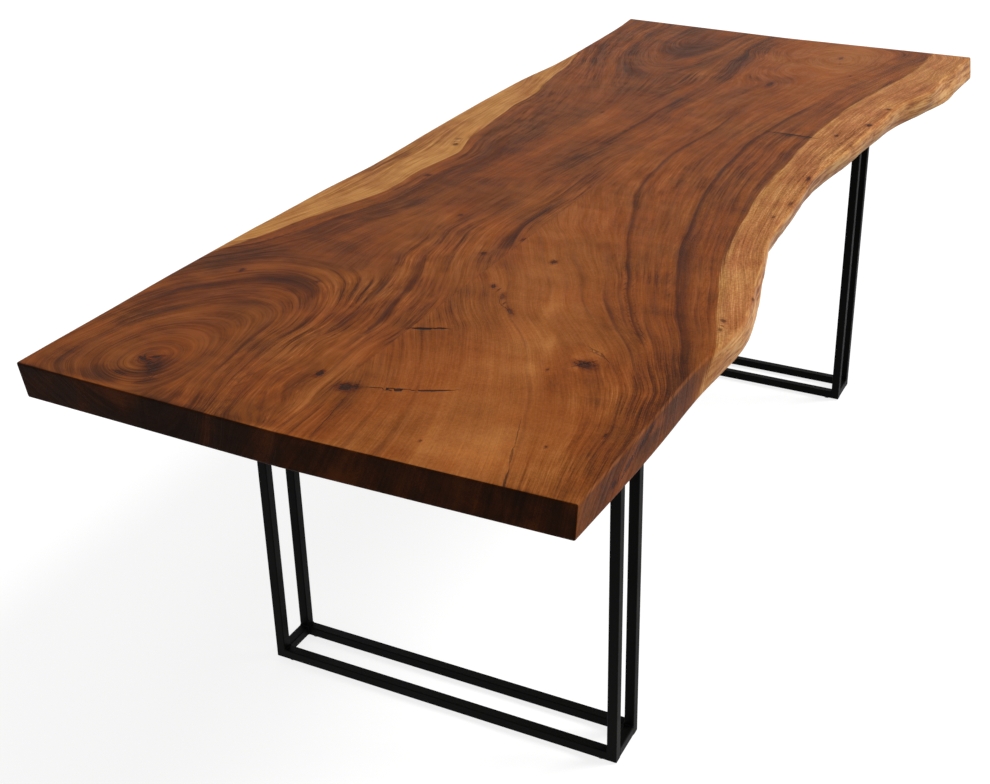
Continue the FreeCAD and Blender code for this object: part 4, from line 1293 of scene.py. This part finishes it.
# wear with painted highlight: a lighter streaky band along the rounded rim where the board was sawn
wear_and_highlight = times(tree, read(tree, "wear_and_highlight"), spread(tree, fine, 0.2, 0.8, 0.1, 0.55))
colour = blend(tree, wear_and_highlight, colour, WORN_RIM_HIGHLIGHT)
print("with the skin:", len(tree.nodes), "nodes")

# %% [markdown]
# Knots and checks lie over everything else, so they're mixed in last. A halo multiplies the wood under it,
# which keeps its streaks, while a core or a filled check covers it.

# %% Slab material: knots and checks
HALO_SHADE, FILLER = srgb(190, 154, 134), srgb(24, 13, 9)
KNOT_DARK, KNOT_BROWN = srgb(24, 11, 6), srgb(62, 32, 16)
knot = use_group(tree, knot_group, Knot=read(tree, "knot", vector=True), Place=place)
halo_colour = blend(tree, 1.0, colour, HALO_SHADE, how="MULTIPLY")
colour = blend(tree, knot["Halo"], colour, halo_colour)
core_colour = blend(tree, spread(tree, knot["Swirl"], 0.35, 0.65), KNOT_DARK, KNOT_BROWN)
colour = blend(tree, knot["Core"], colour, core_colour)
check_away, check_width, darkness = split(tree, read(tree, "check", vector=True))
check_noise = calc(tree, "MULTIPLY_ADD", noise(tree, place, scale=120.0, detail=3.0), 3.0, -1.5)
check_away = calc(tree, "ABSOLUTE", calc(tree, "ADD", check_away, check_noise))
check_gap = calc(tree, "SUBTRACT", check_width, check_away)
check_dark = times(tree, calc(tree, "MULTIPLY", check_gap, 1.6, clamp=True), darkness)
colour = blend(tree, check_dark, colour, FILLER)
print("with knots and checks:", len(tree.nodes), "nodes")

# %% [markdown]
# A saw cut across the fibres drinks the oil and turns dark, and painted shade takes it on to nearly black.
# Between the boards runs a dark hairline of glue. Oil leaves only a soft sheen, so the roughness is middling
# and the reflection faint.

# %% Slab material: end grain, glue line and sheen
GLUE_COLOUR = srgb(52, 32, 24)
PORE_DEPTH = 0.4 * MM
OILED_REFLECTION = 0.03
glue_away = calc(tree, "ABSOLUTE", calc(tree, "SUBTRACT", place_y, GLUE_LINE * MM))
glue_dark = spread(tree, glue_away, 0.2 * MM, 0.8 * MM, 0.35, 0.0)
colour = blend(tree, glue_dark, colour, GLUE_COLOUR)
end_pores = noise(tree, place, scale=900.0, detail=1.0)
end_rings = lean(fine, 0.14, lean(broad, 0.40, lean(mottle, 0.62, end_pores)))
end_rings = calc(tree, "MULTIPLY_ADD", patch, 0.20, end_rings)
# the end face's ramp: the end grain's own darker colour, with painted shade that takes it nearly to black
end_grain_and_shade_colour = ramp(tree, end_rings, (0.0, (22, 9, 3)), (0.5, (44, 20, 7)), (1.0, (80, 39, 15)))
colour = blend(tree, read(tree, "end"), colour, end_grain_and_shade_colour)
feed(tree, shader.inputs["Base Color"], colour)
feed(tree, shader.inputs["Roughness"], spread(tree, fine, 0.0, 1.0, 0.52, 0.42))
shader.inputs["Specular IOR Level"].default_value = OILED_REFLECTION
height = calc(tree, "MULTIPLY_ADD", hair, 0.3, times(tree, fine, 0.4))
height = calc(tree, "MULTIPLY_ADD", check_dark, -3.0, calc(tree, "MULTIPLY_ADD", knot["Core"], -1.2, height))
roughen(tree, shader, height, PORE_DEPTH)
for side, board in boards.items():
    board.data.materials.append(slab_wood)
    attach(board, "root")
    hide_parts(f"slab_board_{side}")
print("slab material:", len(slab_wood.node_tree.nodes), "nodes")

# %% [markdown]
# ## The steel
# The legs are black powder coat: a baked paint with a faint orange peel. Their tubes stay as the frame has
# them, so only the finish is given here. One function makes it, and the small parts' finishes further down.

# %% Powder coat
ROUGHNESS_SWING = 0.05      # either way, with the cloud
GRIT_DEPTH = 0.05 * MM
PEEL_DEPTH = 0.1 * MM
COAT_REFLECTION = 0.05


def plain_finish(name, dark, light, roughness, scale, grit_scale, grit_depth=GRIT_DEPTH, metallic=0.0,
                 reflection=0.5):
    """A finish with a little cloud in its colour and roughness, and a fine grit."""
    material, tree, shader, place = new_material(name)
    cloud = noise(tree, place, scale=scale, detail=3.0)
    smooth, rough = roughness - ROUGHNESS_SWING, roughness + ROUGHNESS_SWING
    feed(tree, shader.inputs["Base Color"], ramp(tree, cloud, (0.3, dark), (0.7, light)))
    feed(tree, shader.inputs["Roughness"], spread(tree, cloud, 0.3, 0.7, smooth, rough))
    shader.inputs["Metallic"].default_value = metallic
    shader.inputs["Specular IOR Level"].default_value = reflection
    roughen(tree, shader, noise(tree, place, scale=grit_scale, detail=2.0), grit_depth)
    return material


powder_coat = plain_finish("black_powder_coat", (5, 5, 4), (8, 8, 7), 0.55, 9.0, 700.0,
                           grit_depth=PEEL_DEPTH, reflection=COAT_REFLECTION)
print("powder coat:", len(powder_coat.node_tree.nodes), "nodes")

# %% [markdown]
# Where two tubes meet in an inner corner the weld leaves a small rippled bead, and the coat covers it. Short
# stitches hold the plates. Outer faces are ground flush, so they show none. Each seam is one edge of a mesh,
# and Geometry Nodes make the beads: seams to curves, a ball every two millimetres or so, all joined.

# %% Seams of the hoops, spacers and plates
BEAD_RADIUS = 2.4         # mm
STITCHES = 5              # short welds along each side of a mounting plate
STITCH_LENGTH = 26.0      # mm


def box_mm(name):
    """The low and high corners of a node, in mm."""
    return [np.array(corner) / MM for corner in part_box(name)]


def leg_seams(leg):
    """All the visible seams of one leg."""
    seams = []
    for hoop in ("inner", "outer"):
        low_rail, high_rail = (box_mm(f"{leg}_{hoop}_{place}_rail") for place in ("bottom", "top"))
        right_post, left_post = (box_mm(f"{leg}_{hoop}_{place}_upright") for place in ("right", "left"))
        x0, x1 = low_rail[0][0] + BEAD_RADIUS, low_rail[1][0] - BEAD_RADIUS
        for y in (right_post[1][1], left_post[0][1]):
            for z in (low_rail[1][2], high_rail[0][2]):
                seams.append([(x0, y, z), (x1, y, z)])
    for place, inner_face in (("left", 0), ("right", 1)):
        low, high = spacer = box_mm(f"{leg}_{place}_foot_spacer")
        hoop_faces = (low[0], high[0])
        y = spacer[inner_face][1]
        for x in hoop_faces:
            seams.append([(x, y, low[2] + BEAD_RADIUS), (x, y, high[2])])
            seams.append([(x, low[1] + BEAD_RADIUS, high[2]), (x, high[1] - BEAD_RADIUS, high[2])])
    plate_low, plate_high = box_mm(f"{leg}_mounting_plate")
    for x in hoop_faces:
        for y in np.linspace(plate_low[1], plate_high[1], STITCHES + 2)[1:-1]:
            seams.append([(x, y - STITCH_LENGTH / 2, plate_low[2]), (x, y + STITCH_LENGTH / 2, plate_low[2])])
    return seams


seams = leg_seams("near") + leg_seams("far")
print("seams:", len(seams), "of", round(sum(math.dist(*seam) for seam in seams)), "mm")

# %% [markdown]
# The tree takes seams, pitch, radius, seed and finish as named inputs. Its balls overlap like the ripples
# of a weld, and a random size keeps them from looking like a string of pearls.

# %% Geometry Nodes: a bead of balls along each seam
SMALLEST_BALL, LARGEST_BALL = 0.84, 1.06      # times the radius
bead_nodes, given, result = new_group(
    "weld_bead",
    {"Seams": "Geometry", "Pitch": "Float", "Radius": "Float", "Seed": "Int", "Finish": "Material"},
    {"Beads": "Geometry"},
    kind="GeometryNodeTree",
)
tree = bead_nodes
as_curves = add(tree, "GeometryNodeMeshToCurve", {"Mesh": given["Seams"]})
even = {"Curve": as_curves.outputs[0], "Length": given["Pitch"]}
stations = add(tree, "GeometryNodeResampleCurve", even, mode="LENGTH")
ball = add(tree, "GeometryNodeMeshIcoSphere", {"Radius": given["Radius"], "Subdivisions": 2})
uneven = {2: SMALLEST_BALL, 3: LARGEST_BALL, "Seed": given["Seed"]}
scale = add(tree, "FunctionNodeRandomValue", uneven, data_type="FLOAT").outputs[1]
balls = {"Points": stations.outputs[0], "Instance": ball.outputs[0], "Scale": scale}
placed = add(tree, "GeometryNodeInstanceOnPoints", balls)
real = add(tree, "GeometryNodeRealizeInstances", {0: placed.outputs[0]})
smooth = add(tree, "GeometryNodeSetShadeSmooth", {0: real.outputs[0]})
painted = {"Geometry": smooth.outputs[0], "Material": given["Finish"]}
coated = add(tree, "GeometryNodeSetMaterial", painted)
feed(tree, result["Beads"], coated.outputs[0])
print("group:", bead_nodes.name)

# %% [markdown]
# A modifier runs the tree, and its inputs are set by the identifiers of their sockets. The result is kept as
# a plain mesh and the modifier goes, so that the piece is an ordinary one from then on.

# %% Running the tree over the seams
def grown(name, mesh, group, **values):
    """A plain mesh object made by running a Geometry Nodes group over a mesh."""
    thing = new_object(name, mesh)
    modifier = thing.modifiers.new(group.name, "NODES")
    modifier.node_group = group
    for item in group.interface.items_tree:
        if item.name in values:
            modifier[item.identifier] = values[item.name]
    evaluated = thing.evaluated_get(bpy.context.evaluated_depsgraph_get())
    plain = bpy.data.meshes.new_from_object(evaluated)
    thing.modifiers.clear()
    thing.data = plain
    return thing


BEAD_PITCH = 1.8      # mm
BEAD_SEED = 5
seam_mesh = bpy.data.meshes.new("seams")
seam_points = [tuple(MM * value for value in point) for seam in seams for point in seam]
seam_mesh.from_pydata(seam_points, [(i, i + 1) for i in range(0, len(seam_points), 2)], [])
welds = grown("weld_beads", seam_mesh, bead_nodes, Pitch=BEAD_PITCH * MM, Radius=BEAD_RADIUS * MM,
              Seed=BEAD_SEED, Finish=powder_coat)
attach(welds, "root")
print("weld beads:", len(welds.data.polygons), "triangles")

# %% [markdown]
# Screws, washers, inserts, glides and tenons keep the frame's shapes. They could all be flat colours, but
# a little cloud in colour and roughness tells zinc, brass, nylon and wood apart.

# %% Plain finishes of the small parts
FINISHES = {
    "black_powder_coat": powder_coat,
    "zinc_steel": plain_finish("zinc_steel", (150, 152, 156), (186, 188, 190), 0.35, 60.0, 1200.0,
                               metallic=1.0),
    "insert_brass": plain_finish("insert_brass", (150, 116, 58), (184, 146, 82), 0.35, 60.0, 1200.0,
                                 metallic=1.0),
    "glide_nylon": plain_finish("glide_nylon", (28, 28, 28), (38, 38, 38), 0.6, 80.0, 1600.0),
    "tenon_wood": plain_finish("tenon_wood", (176, 138, 98), (204, 168, 124), 0.6, 30.0, 600.0),
}
dressed = 0
for node in nodes.values():
    for slot in node.material_slots:
        name = slot.material.name.split(".")[0] if slot.material else ""
        if name in FINISHES:
            slot.material = FINISHES[name]
            dressed += 1
print("CAD nodes given a finish:", dressed, "of", len(nodes))
